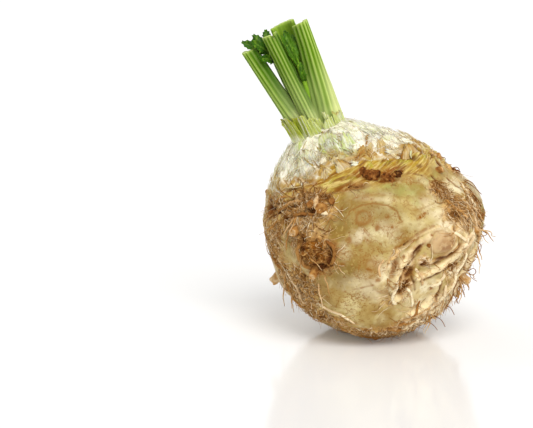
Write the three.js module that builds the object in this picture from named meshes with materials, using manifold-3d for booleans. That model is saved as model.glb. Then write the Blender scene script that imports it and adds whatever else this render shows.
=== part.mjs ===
// A whole celeriac, trimmed for sale: the swollen root with its torn leaf bases, trimmed patches, lateral
// roots and rootlets, the cut leaf stalks that stand in its crown, and two young leaves between them.
// Millimetres, +Z up. The root's centre stands straight above the origin, which is on the small flat spot
// that the root rests on. +X is to the right and -Y is the front.
import * as THREE from "three";
import { mergeVertices } from "three/addons/utils/BufferGeometryUtils.js";
import Module from "manifold-3d";

const wasm = await Module();
wasm.setup();

const deg = Math.PI / 180;
const vec = (x, y, z) => new THREE.Vector3(x, y, z);
const between = (a, b, s) => a + (b - a) * s;

// Driving sizes of the root
const rootCentre = vec(0, 0, 52.3);
const meanRadius = 57;
const depthRadius = 55; // straight to the front and to the back
// Distance from the centre to the outline seen from the front, every 22.5 degrees from +X towards +Z
const outlineRadii = [57.5, 59.6, 54.4, 55, 54.2, 58.5, 57.6, 59.7, 57.5, 55, 54, 54.5, 55.5, 54.8, 54, 53.3];
const frontTilt = 12 * deg; // places on the front are given as seen from this much above
const surfaceDetail = 11; // each edge of an icosahedron is cut this many times
const gap = 0.35; // between pieces that touch

// The crown, where the leaves grow, and the opposite pole, where most of the roots are
const crownAxis = vec(-0.47, -0.08, 0.88).normalize();
const crownRise = 9.5;
const crownSpread = 26 * deg;
// How far the torn leaf bases reach from the axis, in degrees, every 30 degrees round it from the front
// towards +X
const crownEdge = [31, 35, 48, 56, 57, 53, 47, 50, 46, 43, 36, 32];
const rootPole = vec(0.55, 0.1, -0.83).normalize();

// Slight unevenness all over: sine waves in drawn directions
const ripples = { count: 7, height: 0.42, slowest: 4, fastest: 12, seed: 5 };

// Patches that were trimmed flat with a knife: mm right of and above the centre, seen from the front, and
// how deep the cut goes below the round surface
const frontCuts = [
  { across: 2.7, up: -8, depth: 4.6 },
  { across: 25, up: 20.3, depth: 1.5 },
  { across: -11.2, up: -25.6, depth: 2 },
  { across: 27.7, up: -30, depth: 2.2 },
];
// The same at the back: degrees round from the front towards +X, degrees up, and depth
const backCuts = [
  { round: 118, up: 8, depth: 3.2 },
  { round: 168, up: -12, depth: 4.4 },
  { round: 214, up: 14, depth: 2.6 },
  { round: 256, up: -16, depth: 3.4 },
];
const cutRim = 0.35; // how far the edge of a cut is rounded
const facingEdge = 0.5; // a cut never reaches a place that is turned away by more than this cosine

// Swellings (+) and hollows (-) on the front: height and reach in mm; those at the back are drawn
const frontLumps = [
  { across: -29.3, up: 13.3, height: 3.2, reach: 6 },
  { across: -31, up: -7, height: 3.4, reach: 12 },
  { across: -29.5, up: -8, height: -6.5, reach: 6 },
  { across: -52, up: 13, height: -2.6, reach: 6 },
  { across: 44, up: 14.4, height: 2, reach: 9 },
  { across: 39.4, up: -2.7, height: 2.6, reach: 7 },
  { across: 24, up: -19, height: -2.6, reach: 5 },
  { across: 38, up: -27, height: 2.2, reach: 8 },
  { across: 8, up: 35, height: -1.8, reach: 7 },
  { across: 20, up: 45, height: 2, reach: 7 },
];
const backLumps = { count: 14, round: [95, 270], up: [-58, 26], height: [1.2, 3.8], reach: [5, 9], seed: 11 };

// Torn leaf bases: rings of ragged flaps round the crown that lean towards the stalks. outward is how far
// out a ring stands, from 0 at the innermost angle to 1 at the crown's edge.
const flapRings = [
  { outward: 0.15, count: 9, length: 13, width: 12, lift: 2.6 },
  { outward: 0.55, count: 12, length: 12, width: 12.5, lift: 2.4 },
  { outward: 0.95, count: 14, length: 11, width: 13, lift: 2.1 },
];
const flap = {
  innermost: 24,
  footLift: -1.2,
  footThickness: 3,
  tipThickness: 1.1,
  narrowing: 0.3,
  stations: [0, 0.55, 1],
  azimuthPlay: [0, 0.5],
  anglePlay: [-2, 2],
  lengthPlay: [0.75, 1.2],
  halfWidthPlay: [0.38, 0.56],
  twist: [-0.5, 0.5],
  torn: [-0.05, 0.05],
  seed: 7,
};
// The collar of torn sheaths round the stalks: half axes of its foot and its top, and how high its top
// stands above the stalks' feet
const collar = {
  count: 10,
  middle: vec(-32.8, -0.5, 115),
  up: vec(-0.44, 0, 0.898),
  foot: [13.2, 12],
  top: [15, 14],
  rise: 2.2,
  riseToLeft: 4.8,
  length: 14,
  footThickness: 2.1,
  tipThickness: 1.1,
  narrowing: 0.35,
  stations: [0, 0.6, 1],
  azimuthPlay: [0, 0.4],
  halfWidthPlay: [0.7, 1.1],
  torn: [-1.6, 1.6],
  seed: 13,
};

// Lateral roots that lie along the surface: the first ones by places on the front, the others drawn
const frontStrands = [
  { places: [[42, -1], [34, -7], [25, -12], [17, -20], [10.5, -29], [7, -36]], radius: 2.1 },
  { places: [[53, -4], [47, -12], [40, -18], [33, -20]], radius: 2 },
  { places: [[38, -14], [31, -18], [25, -19.5]], radius: 2.7 },
  { places: [[35, -36], [28, -41], [18, -44], [9, -44]], radius: 1.7 },
  { places: [[50, 16], [54, 6], [54, -5], [50, -16]], radius: 1.8 },
];
const backStrands = {
  count: 6,
  round: [80, 280],
  up: [-20, 14],
  reach: [0.45, 0.75],
  sway: [-0.5, 0.5],
  radius: [1.4, 2.3],
  seed: 23,
};
const strand = { sides: 5, stepsPerPlace: 1.4, endSink: 1.5, lift: 0.1, thinEnd: 0.5, floorGap: 0.6 };

// Knobs in a row under the crown and cut-off stumps of thicker lateral roots, then drawn ones at the back
const frontStubs = [
  { across: -5.9, up: 33, radius: 2.6, length: 2 },
  { across: -0.8, up: 32, radius: 2.3, length: 2 },
  { across: 6.9, up: 32.5, radius: 2.4, length: 2 },
  { across: 11.7, up: 34.1, radius: 2.5, length: 2.2 },
  { across: -41, up: 4, radius: 2.6, length: 5 },
  { across: -33, up: -17, radius: 2.2, length: 6 },
  { across: 33, up: 36, radius: 1.8, length: 3.5 },
  { across: 44, up: 35, radius: 2, length: 4.5 },
  { across: 49, up: -22, radius: 2.4, length: 6 },
];
const backStubs = {
  count: 8,
  round: [85, 285],
  up: [-38, 22],
  radius: [1.7, 2.9],
  length: [3.5, 6.5],
  seed: 31,
};
const stub = { sides: 6, sink: 3, lean: 0.45, stations: [0, 0.55, 1], widths: [1.35, 1, 0.85] };

// Rootlets: thin roots that leave the surface at a low angle, most of them near the root pole
const rootletPatches = [
  { at: onFront(46, 13), spread: 0.24, count: 6 },
  { at: onFront(54, -8), spread: 0.3, count: 7 },
  { at: onFront(43, -33), spread: 0.24, count: 6 },
  { at: onFront(24, -45), spread: 0.22, count: 4 },
  { at: onFront(-32, -10), spread: 0.26, count: 6 },
  { at: onFront(-44, 8), spread: 0.22, count: 4 },
  { at: onBearing(110, -20), spread: 0.4, count: 5 },
  { at: onBearing(150, -30), spread: 0.4, count: 5 },
  { at: onBearing(195, -22), spread: 0.4, count: 5 },
  { at: onBearing(240, -25), spread: 0.4, count: 5 },
  { at: onBearing(290, -30), spread: 0.35, count: 4 },
];
const rootlet = {
  sides: 3,
  steps: 3,
  sink: 2,
  footRadius: 0.95,
  tipRadius: 0.45,
  heading: [-1.1, 1.1],
  bend: [-0.28, 0.28],
  length: [9, 17],
  rise: [0.25, 0.6],
  droop: 0.35,
  lowest: 1.6,
  seed: 47,
};

// Leaf stalks: crescent section with ribs on the outer face, cut off by one slanting knife stroke.
// foot and top are points of the stalk's middle line; out is the way its ribbed face looks.
const stalks = [
  {
    name: "stalk_right",
    foot: vec(-22.9, -4, 116.5),
    top: vec(-38.7, -3, 166.8),
    out: vec(0.45, -0.88, 0.1),
    width: 8.4,
    footWidth: 18,
    spread: 1.35,
    depth: 6.4,
    wall: 3.6,
    ribs: 7,
    bow: 1.2,
  },
  {
    name: "stalk_middle",
    foot: vec(-33.3, -8, 116.5),
    top: vec(-55.1, -7, 160.6),
    out: vec(0.12, -0.98, 0),
    width: 7.8,
    footWidth: 8.6,
    spread: 2,
    depth: 6,
    wall: 3.6,
    ribs: 6,
    bow: -0.4,
  },
  {
    name: "stalk_left",
    foot: vec(-42.9, -4, 116),
    top: vec(-66.7, -3, 151.6),
    out: vec(-0.35, -0.92, -0.2),
    width: 8,
    footWidth: 11.5,
    spread: 2.4,
    depth: 6.4,
    wall: 3.8,
    ribs: 6,
    bow: 0.6,
  },
  {
    name: "stalk_back_right",
    foot: vec(-27.3, 8.5, 114),
    top: vec(-48.1, 9, 164.9),
    out: vec(0.25, 0.96, 0.1),
    width: 13.5,
    footWidth: 15,
    spread: 2,
    depth: 6.6,
    wall: 2.8,
    ribs: 7,
    bow: 0.8,
  },
  {
    name: "stalk_back_left",
    foot: vec(-35.2, 7, 114),
    top: vec(-55.9, 9, 157),
    out: vec(-0.45, 0.88, 0),
    width: 7.6,
    footWidth: 8.4,
    spread: 2,
    depth: 6,
    wall: 3.2,
    ribs: 6,
    bow: 0.6,
  },
];
const knifeNormal = vec(-0.438, 0, 0.899);
const sunk = 9; // how deep the stalks stand in the crown
const stalkWrap = 76 * deg; // half the angle that the outer face turns through
const ribHeight = 0.55;
const stalkStations = [0, 0.14, 0.3, 0.5, 0.75, 1];
const innerSteps = 6; // edges across the hollow face
const rimWidth = 0.42; // of the wall
const middleDepth = 0.55; // where the middle line runs between the rims and the ribbed face
// The notch where the middle stalk begins to branch
const notch = { below: 4.2, aside: 1.4, tall: 12, toLeft: 3.2, toRight: 2.2, through: 16 };

// Young leaves: a thin stem, and leaflets with toothed edges that fan out from it. from counts the stem's
// points, and cup is how far a blade folds up along its midrib.
const youngLeaves = [
  {
    name: "young_leaf_left",
    stem: [
      vec(-33.3, 0.5, 104),
      vec(-38.4, 1, 118),
      vec(-44.8, 1, 133),
      vec(-50.8, 1, 144),
      vec(-56.8, 0, 152.5),
    ],
    stemRadius: [1.7, 1.6, 1.4, 1.3, 0.9],
    leaflets: [
      { from: 3.6, tip: vec(-69.7, -2.5, 156.4), width: 7.5, cup: 0.35 },
      { from: 3.2, tip: vec(-60.7, -8.6, 148.8), width: 6.5, cup: 0.4 },
      { from: 3.4, tip: vec(-63.8, 2, 159.5), width: 8, cup: -0.3 },
      { from: 3.8, tip: vec(-57.3, 2, 162.2), width: 7, cup: 0.3 },
      { from: 3.7, tip: vec(-64.9, -6, 157.5), width: 7, cup: 0.3 },
    ],
    seed: 61,
  },
  {
    name: "young_leaf_right",
    stem: [
      vec(-29.3, -1, 105),
      vec(-32.8, -3.5, 122),
      vec(-36.8, -5.5, 135),
      vec(-40.8, -4.5, 146),
      vec(-43.8, -2, 153),
    ],
    stemRadius: [1.6, 1.5, 1.3, 1.1, 0.7],
    leaflets: [
      { from: 2, tip: vec(-39.2, -8.6, 146.5), width: 4.4, cup: 0.5 },
      { from: 2.7, tip: vec(-49.1, -6.5, 160.3), width: 4.2, cup: 0.5 },
      { from: 3, tip: vec(-43.5, 2.4, 159.5), width: 6, cup: -0.3 },
      { from: 3.4, tip: vec(-47.3, 2, 161.5), width: 6, cup: 0.3 },
    ],
    seed: 67,
  },
];
const stemSides = 6;
const blade = {
  thickness: 0.9,
  midrib: 0.27,
  teeth: 3,
  toothDepth: 0.32,
  narrowest: 0.6,
  arch: 1.6,
  wave: 0.5,
  ripple: 9, // radians of wave along the edge
  widestSpan: [0.12, 0.92], // the part of half a turn that the outline follows
};

// A seeded draw, the same on every run
function drawFrom(seed) {
  let state = seed;
  return (low = 0, high = 1) => {
    state = (Math.imul(state, 1664525) + 1013904223) >>> 0;
    return between(low, high, state / 2 ** 32);
  };
}

// Direction of a place on the front, from mm right of and above the centre
function onFront(across, up) {
  const u = across / meanRadius;
  const v = up / meanRadius;
  const w = Math.sqrt(1 - u * u - v * v);
  const c = Math.cos(frontTilt);
  const s = Math.sin(frontTilt);
  return vec(u, v * s - w * c, v * c + w * s).normalize();
}

// Direction from degrees round and degrees up
function onBearing(round, up) {
  const b = round * deg;
  const e = up * deg;
  return vec(Math.sin(b) * Math.cos(e), -Math.cos(b) * Math.cos(e), Math.sin(e));
}

// Bearing of the i-th of some drawn places, spread evenly over a range with one draw of play each
const bearingOf = (spec, i, draw) => between(spec.round[0], spec.round[1], (i + draw()) / spec.count);

const angleBetween = (a, b) => Math.acos(Math.min(1, Math.max(-1, a.dot(b))));

// Two directions along the surface at d: towards the pole given, and across it
function alongSurface(d, pole) {
  const towards = pole.clone().addScaledVector(d, -pole.dot(d)).normalize();
  return { towards, across: d.clone().cross(towards) };
}

// Unit directions a and b blended by an angle
const turned = (a, b, angle) => a.clone().multiplyScalar(Math.cos(angle)).addScaledVector(b, Math.sin(angle));

// Direction at an angle from the crown axis and an azimuth round it
function fromCrown(azimuth, angle) {
  const { towards, across } = alongSurface(crownAxis, vec(0, -1, 0));
  return turned(crownAxis, turned(towards, across, azimuth), angle).normalize();
}

// The crown's edge at an azimuth, in degrees, between the two nearest of crownEdge
function crownEdgeAt(azimuth) {
  const n = crownEdge.length;
  const t = (azimuth / (2 * Math.PI)) * n;
  const i = Math.floor(t);
  return between(crownEdge[i % n], crownEdge[(i + 1) % n], THREE.MathUtils.smoothstep(t - i, 0, 1));
}

// Outline radius at an angle, on a smooth closed curve through outlineRadii
function outlineAt(angle) {
  const n = outlineRadii.length;
  const t = (angle / (2 * Math.PI) + 1) * n;
  const i = Math.floor(t);
  const f = t - i;
  const [a, b, c, d] = [-1, 0, 1, 2].map((k) => outlineRadii[(i + k + n) % n]);
  return b + 0.5 * f * (c - a + f * (2 * a - 5 * b + 4 * c - d + f * (3 * (b - c) + d - a)));
}

function makeRipples() {
  const draw = drawFrom(ripples.seed);
  const waves = [];
  for (let i = 0; i < ripples.count; i++) {
    const way = vec(draw(-1, 1), draw(-1, 1), draw(-1, 1)).normalize();
    const count = between(ripples.slowest, ripples.fastest, i / (ripples.count - 1));
    waves.push({ way: way.multiplyScalar(count), phase: draw(0, 2 * Math.PI) });
  }
  return waves;
}

function makeLumps() {
  const placed = frontLumps.map((l) => ({ at: onFront(l.across, l.up), height: l.height, reach: l.reach }));
  const draw = drawFrom(backLumps.seed);
  for (let i = 0; i < backLumps.count; i++) {
    const at = onBearing(bearingOf(backLumps, i, draw), draw(...backLumps.up));
    placed.push({ at, height: draw(...backLumps.height), reach: draw(...backLumps.reach) });
  }
  return placed;
}

const waves = makeRipples();
const lumps = makeLumps();

// The round form of the root, before cuts and swellings
function roundRadius(d) {
  const inPlane = 1 - d.y * d.y;
  const base = depthRadius + (outlineAt(Math.atan2(d.z, d.x)) - depthRadius) * inPlane;
  const away = angleBetween(d, crownAxis) / crownSpread;
  const uneven = waves.reduce((sum, w) => sum + Math.sin(w.way.dot(d) + w.phase), 0);
  return base + crownRise * Math.exp(-away * away) + ripples.height * uneven;
}

const cuts = [
  ...frontCuts.map((c) => ({ normal: onFront(c.across, c.up), depth: c.depth })),
  ...backCuts.map((c) => ({ normal: onBearing(c.round, c.up), depth: c.depth })),
].map(({ normal, depth }) => ({ normal, distance: roundRadius(normal) - depth }));

// Distance from the centre to the surface in direction d
function rootRadius(d) {
  let r = roundRadius(d);
  for (const { normal, distance } of cuts) {
    const facing = d.dot(normal);
    if (facing < facingEdge) continue;
    const flat = distance / facing;
    const low = Math.min(r, flat);
    r = low - cutRim * Math.log(Math.exp((low - r) / cutRim) + Math.exp((low - flat) / cutRim));
  }
  for (const { at, height, reach } of lumps) {
    const away = (angleBetween(d, at) * meanRadius) / reach;
    r += height * Math.exp(-away * away);
  }
  return r;
}

// Point on the surface in direction d, lifted off it by some mm, never below what the root rests on
function onRoot(d, lift = 0) {
  const p = rootCentre.clone().addScaledVector(d, rootRadius(d) + lift);
  p.z = Math.max(p.z, 0);
  return p;
}

// A closed geometry as a solid, its shared points merged and its faces turned out
function solidOf(geometry) {
  for (const name of ["normal", "uv"]) geometry.deleteAttribute(name);
  const merged = mergeVertices(geometry, 1e-5);
  const make = (index) =>
    new wasm.Manifold(
      new wasm.Mesh({
        numProp: 3,
        vertProperties: new Float32Array(merged.getAttribute("position").array),
        triVerts: new Uint32Array(index),
      }),
    );
  const made = make(merged.index.array);
  return made.volume() < 0 ? make([...merged.index.array].reverse()) : made;
}

// A solid from rings of points, each a closed loop with the same count, and the triangles of its two ends
function loft(rings, cap = fanOf(rings[0].length)) {
  const n = rings[0].length;
  const faces = [];
  for (let i = 0; i + 1 < rings.length; i++) {
    for (let j = 0; j < n; j++) {
      const a = i * n + j;
      const b = i * n + ((j + 1) % n);
      faces.push(a, b, b + n, a, b + n, a + n);
    }
  }
  const last = (rings.length - 1) * n;
  for (const [a, b, c] of cap) {
    faces.push(a, c, b);
    faces.push(last + a, last + b, last + c);
  }
  const geometry = new THREE.BufferGeometry().setFromPoints(rings.flat());
  geometry.setIndex(faces);
  return solidOf(geometry);
}

function fanOf(n) {
  const faces = [];
  for (let i = 1; i + 1 < n; i++) faces.push([0, i, i + 1]);
  return faces;
}

// Triangles that fill a section, each turned the same way as the section's own outline
function capOf(section) {
  const outline = section.map(([x, y]) => new THREE.Vector2(x, y));
  const way = Math.sign(THREE.ShapeUtils.area(outline));
  return THREE.ShapeUtils.triangulateShape(outline, []).map(([a, b, c]) => {
    const same = Math.sign(THREE.ShapeUtils.area([outline[a], outline[b], outline[c]])) === way;
    return same ? [a, b, c] : [a, c, b];
  });
}

// A round tube along points, with a radius at each
function tube(points, radii, sides) {
  let side = vec(0.31, 0.87, 0.38);
  const rings = points.map((p, i) => {
    const ahead = points[Math.min(i + 1, points.length - 1)];
    const behind = points[Math.max(i - 1, 0)];
    const along = ahead.clone().sub(behind).normalize();
    side = side.clone().addScaledVector(along, -side.dot(along)).normalize();
    const other = along.clone().cross(side);
    const ring = [];
    for (let k = 0; k < sides; k++) {
      const spoke = turned(side, other, (2 * Math.PI * k) / sides);
      ring.push(p.clone().addScaledVector(spoke, radii[i]));
    }
    return ring;
  });
  return loft(rings);
}

// The swollen root itself
function makeSwelling() {
  const sphere = new THREE.IcosahedronGeometry(1, surfaceDetail);
  const at = sphere.getAttribute("position");
  for (let i = 0; i < at.count; i++) {
    const p = onRoot(vec().fromBufferAttribute(at, i).normalize());
    at.setXYZ(i, p.x, p.y, p.z);
  }
  return solidOf(sphere);
}

function makeFlaps() {
  const draw = drawFrom(flap.seed);
  const flaps = [];
  for (const ring of flapRings) {
    for (let i = 0; i < ring.count; i++) {
      const azimuth = (2 * Math.PI * (i + draw(...flap.azimuthPlay))) / ring.count;
      const ringAngle = between(flap.innermost, crownEdgeAt(azimuth), ring.outward);
      const fromAxis = (ringAngle + draw(...flap.anglePlay)) * deg;
      const length = (ring.length * draw(...flap.lengthPlay)) / meanRadius;
      const halfWidth = (ring.width * draw(...flap.halfWidthPlay)) / meanRadius / Math.sin(fromAxis);
      const twist = draw(...flap.twist) * halfWidth;
      const rings = flap.stations.map((s) => {
        const lift = between(flap.footLift, ring.lift, s);
        const thickness = between(flap.footThickness, flap.tipThickness, s);
        const [a, b] = [-1, 1].map((side) => {
          const torn = s === 1 ? draw(...flap.torn) : 0;
          const aside = side * halfWidth * (1 - flap.narrowing * s) + twist * s;
          return fromCrown(azimuth + aside, fromAxis - length * s + torn);
        });
        return [onRoot(a, lift), onRoot(b, lift), onRoot(b, lift - thickness), onRoot(a, lift - thickness)];
      });
      flaps.push(loft(rings));
    }
  }
  return flaps;
}

function makeCollar() {
  const draw = drawFrom(collar.seed);
  const right = vec(collar.up.z, 0, -collar.up.x);
  const back = vec(0, 1, 0);
  const sheaths = [];
  for (let i = 0; i < collar.count; i++) {
    const azimuth = (2 * Math.PI * (i + draw(...collar.azimuthPlay))) / collar.count;
    const halfWidth = (Math.PI / collar.count) * draw(...collar.halfWidthPlay);
    const rings = collar.stations.map((s) => {
      const thickness = between(collar.footThickness, collar.tipThickness, s);
      const [a, b] = [-1, 1].map((side) => {
        const way = azimuth + side * halfWidth * (1 - collar.narrowing * s);
        const torn = s === 1 ? draw(...collar.torn) : 0;
        const height = collar.rise - collar.riseToLeft * Math.cos(way) + torn - collar.length * (1 - s);
        const [halfX, halfY] = [0, 1].map((k) => between(collar.foot[k], collar.top[k], s * s));
        const inner = collar.middle
          .clone()
          .addScaledVector(collar.up, height)
          .addScaledVector(right, halfX * Math.cos(way))
          .addScaledVector(back, halfY * Math.sin(way));
        return { inner, outer: inner.clone().addScaledVector(turned(right, back, way), thickness) };
      });
      return [a.inner, b.inner, b.outer, a.outer];
    });
    sheaths.push(loft(rings));
  }
  return sheaths;
}

function makeStrands() {
  const lines = frontStrands.map((s) => ({
    way: s.places.map(([across, up]) => onFront(across, up)),
    radius: s.radius,
  }));
  const draw = drawFrom(backStrands.seed);
  for (let i = 0; i < backStrands.count; i++) {
    const start = onBearing(bearingOf(backStrands, i, draw), draw(...backStrands.up));
    const { towards, across } = alongSurface(start, rootPole);
    const sway = draw(...backStrands.sway);
    const reach = draw(...backStrands.reach);
    const way = [0, 1 / 3, 2 / 3, 1].map((s) => {
      const heading = towards.clone().addScaledVector(across, sway * Math.sin(Math.PI * s));
      return turned(start, heading.normalize(), reach * s).normalize();
    });
    lines.push({ way, radius: draw(...backStrands.radius) });
  }
  return lines.map(({ way, radius }) => {
    const curve = new THREE.CatmullRomCurve3(way);
    const steps = Math.round(strand.stepsPerPlace * (way.length - 1));
    const points = [];
    const radii = [];
    for (let i = 0; i <= steps; i++) {
      const s = i / steps;
      const r = radius * between(strand.thinEnd, 1, Math.sin(Math.PI * s));
      const atEnd = i === 0 || i === steps;
      const p = onRoot(curve.getPoint(s).normalize(), atEnd ? -strand.endSink : strand.lift * radius);
      p.z = Math.max(p.z, r + strand.floorGap);
      points.push(p);
      radii.push(r);
    }
    return tube(points, radii, strand.sides);
  });
}

function makeStubs() {
  const draw = drawFrom(backStubs.seed);
  const places = frontStubs.map((s) => ({ at: onFront(s.across, s.up), radius: s.radius, length: s.length }));
  for (let i = 0; i < backStubs.count; i++) {
    const at = onBearing(bearingOf(backStubs, i, draw), draw(...backStubs.up));
    places.push({ at, radius: draw(...backStubs.radius), length: draw(...backStubs.length) });
  }
  return places.map(({ at, radius, length }) => {
    const { towards } = alongSurface(at, rootPole);
    const out = at.clone().addScaledVector(towards, stub.lean).normalize();
    const foot = onRoot(at, -stub.sink);
    const points = stub.stations.map((s) => foot.clone().addScaledVector(out, s * (length + stub.sink)));
    return tube(points, stub.widths.map((w) => w * radius), stub.sides);
  });
}

function makeRootlets() {
  const draw = drawFrom(rootlet.seed);
  const rootlets = [];
  for (const patch of rootletPatches) {
    const frame = alongSurface(patch.at, rootPole);
    for (let i = 0; i < patch.count; i++) {
      const offset = turned(frame.towards, frame.across, draw(0, 2 * Math.PI));
      const at = turned(patch.at, offset, patch.spread * Math.sqrt(draw())).normalize();
      const local = alongSurface(at, rootPole);
      const sideways = draw(...rootlet.heading);
      const heading = local.towards.clone().addScaledVector(local.across, sideways).normalize();
      const bend = draw(...rootlet.bend);
      const length = draw(...rootlet.length);
      const rise = draw(...rootlet.rise);
      const points = [];
      const radii = [];
      for (let k = 0; k <= rootlet.steps; k++) {
        const s = k / rootlet.steps;
        const p = onRoot(at, -rootlet.sink)
          .addScaledVector(heading, length * s)
          .addScaledVector(local.across, length * bend * s * s)
          .addScaledVector(at, rootlet.sink * s + length * rise * s * (1 - rootlet.droop * s));
        p.z = Math.max(p.z, rootlet.lowest);
        points.push(p);
        radii.push(between(rootlet.footRadius, rootlet.tipRadius, s));
      }
      rootlets.push(tube(points, radii, rootlet.sides));
    }
  }
  return rootlets;
}

// A stalk's section: across, and out from the chord between the two rims
function crescent(s, width, grown) {
  const section = [];
  const arc = (steps, half, deep, rib, lift) => {
    for (let i = 0; i <= steps; i++) {
      const a = between(-1, 1, i / steps) * stalkWrap;
      const bulge = (Math.cos(a) - Math.cos(stalkWrap)) / (1 - Math.cos(stalkWrap));
      const raised = i % 2 ? rib : 0;
      const x = (half * Math.sin(a)) / Math.sin(stalkWrap) + raised * Math.sin(a);
      section.push([x, deep * bulge + raised * Math.cos(a) + lift]);
    }
  };
  arc(2 * s.ribs, width / 2 + grown, s.depth + 2 * grown, ribHeight, -grown);
  const innerHalf = width / 2 - rimWidth * s.wall - grown;
  arc(innerSteps, -innerHalf, s.depth - s.wall, 0, -2 * grown);
  return section;
}

// The directions of a stalk: along it, out of its ribbed face, and across
function stalkFrame(s) {
  const axis = s.top.clone().sub(s.foot).normalize();
  const out = s.out.clone().addScaledVector(axis, -s.out.dot(axis)).normalize();
  return { axis, out, across: axis.clone().cross(out) };
}

function makeStalk(s, grown = 0) {
  const { axis, out, across } = stalkFrame(s);
  const start = s.foot.clone().addScaledVector(axis, -(sunk + grown));
  const length = s.top.distanceTo(start);
  const rings = stalkStations.map((t) => {
    const width = between(s.width, s.footWidth, Math.pow(1 - t, s.spread));
    const middle = start
      .clone()
      .addScaledVector(axis, length * t)
      .addScaledVector(out, s.bow * Math.sin(Math.PI * t) - s.depth * middleDepth);
    return crescent(s, width, grown).map(([x, y]) => {
      const p = middle.clone().addScaledVector(across, x).addScaledVector(out, y);
      if (t < 1) return p;
      const short = s.top.dot(knifeNormal) + grown - p.dot(knifeNormal);
      return p.addScaledVector(axis, short / axis.dot(knifeNormal));
    });
  });
  return loft(rings, capOf(crescent(s, s.footWidth, grown)));
}

// The wedge that leaves the notch, drawn in the plane of the stalk's ribbed face
function makeNotch(s) {
  const { axis, out, across } = stalkFrame(s);
  const outline = new THREE.Shape([
    new THREE.Vector2(0, 0),
    new THREE.Vector2(notch.toRight, notch.tall),
    new THREE.Vector2(-notch.toLeft, notch.tall),
  ]);
  const wedge = new THREE.ExtrudeGeometry(outline, { depth: notch.through, bevelEnabled: false });
  wedge.translate(0, 0, -notch.through / 2);
  const tip = s.top.clone().addScaledVector(axis, -notch.below).addScaledVector(across, notch.aside);
  wedge.applyMatrix4(new THREE.Matrix4().makeBasis(across, axis, out).setPosition(tip));
  return solidOf(wedge);
}

// One leaflet: a folded blade from base to tip, its edge cut into teeth
function makeLeaflet(base, leaflet, draw) {
  const along = leaflet.tip.clone().sub(base);
  const length = along.length();
  along.normalize();
  const across = along.clone().cross(vec(0, -1, 0.2)).normalize();
  const up = across.clone().cross(along);
  const steps = 2 * blade.teeth + 1;
  const rings = [];
  for (let i = 0; i <= steps; i++) {
    const s = i / steps;
    const tooth = i % 2 ? 1 : 1 - blade.toothDepth;
    const half = (leaflet.width / 2) * Math.sin(Math.PI * between(...blade.widestSpan, s)) * tooth;
    const edge = Math.max(blade.narrowest, half);
    const wave = blade.wave * Math.sin(blade.ripple * s + draw());
    const middle = base
      .clone()
      .addScaledVector(along, length * s)
      .addScaledVector(up, blade.arch * Math.sin(Math.PI * s));
    const at = (x, y) => middle.clone().addScaledVector(across, x).addScaledVector(up, y);
    const fold = edge * leaflet.cup;
    const t = blade.thickness;
    rings.push([
      at(-edge, fold + wave),
      at(0, t / 2),
      at(edge, fold - wave),
      at(edge, fold - wave - t),
      at(0, -t / 2 - blade.midrib),
      at(-edge, fold + wave - t),
    ]);
  }
  return loft(rings, [[0, 1, 5], [1, 4, 5], [1, 2, 4], [2, 3, 4]]);
}

function makeYoungLeaf(leaf, grown = 0) {
  const curve = new THREE.CatmullRomCurve3(leaf.stem);
  const last = leaf.stem.length - 1;
  const steps = 2 * last;
  const points = [];
  const radii = [];
  for (let i = 0; i <= steps; i++) {
    const k = Math.min(Math.floor(i / 2), last - 1);
    points.push(curve.getPoint(i / steps));
    radii.push(grown + between(leaf.stemRadius[k], leaf.stemRadius[k + 1], i / 2 - k));
  }
  const stem = tube(points, radii, stemSides);
  if (grown) return stem;
  const draw = drawFrom(leaf.seed);
  const blades = leaf.leaflets.map((l) => makeLeaflet(curve.getPoint(l.from / last), l, draw));
  return wasm.Manifold.union([stem, ...blades]);
}

// The largest connected body of a solid
function largestOf(solid) {
  return solid.decompose().reduce((best, b) => (b.volume() > best.volume() ? b : best));
}

function meshOf(name, solid, material) {
  const { numVert, numProp, vertProperties, triVerts } = solid.getMesh();
  const positions = new Float32Array(numVert * 3);
  for (let i = 0; i < numVert; i++) {
    positions.set(vertProperties.subarray(i * numProp, i * numProp + 3), i * 3);
  }
  const geometry = new THREE.BufferGeometry();
  geometry.setAttribute("position", new THREE.BufferAttribute(positions, 3));
  geometry.setIndex(new THREE.BufferAttribute(triVerts, 1));
  geometry.computeVertexNormals();
  const mesh = new THREE.Mesh(geometry, material);
  mesh.name = name;
  return mesh;
}

const rootSkin = new THREE.MeshStandardMaterial({ color: 0xc9a86c, roughness: 0.75, metalness: 0 });
const stalkGreen = new THREE.MeshStandardMaterial({ color: 0x8fb64a, roughness: 0.45, metalness: 0 });
const leafGreen = new THREE.MeshStandardMaterial({ color: 0x3f7d1c, roughness: 0.55, metalness: 0 });

const celeriac = new THREE.Group();
celeriac.name = "celeriac";

// Each piece clears the ones before it: what they fill, grown by the gap, is cut out of it
const taken = [];
function addPiece(name, solid, material) {
  const clear = taken.reduce((left, cutter) => left.subtract(cutter), solid);
  celeriac.add(meshOf(name, largestOf(clear), material));
}

for (const s of stalks) {
  const whole = makeStalk(s);
  const branched = s.name === "stalk_middle" ? whole.subtract(makeNotch(s)) : whole;
  addPiece(s.name, branched, stalkGreen);
  taken.push(makeStalk(s, gap));
}
for (const leaf of youngLeaves) {
  addPiece(leaf.name, makeYoungLeaf(leaf), leafGreen);
  taken.push(makeYoungLeaf(leaf, gap));
}

const root = [makeSwelling(), makeFlaps(), makeCollar(), makeStrands(), makeStubs(), makeRootlets()];
addPiece("root", wasm.Manifold.union(root.flat()), rootSkin);

export default celeriac;
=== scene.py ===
import math

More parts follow.
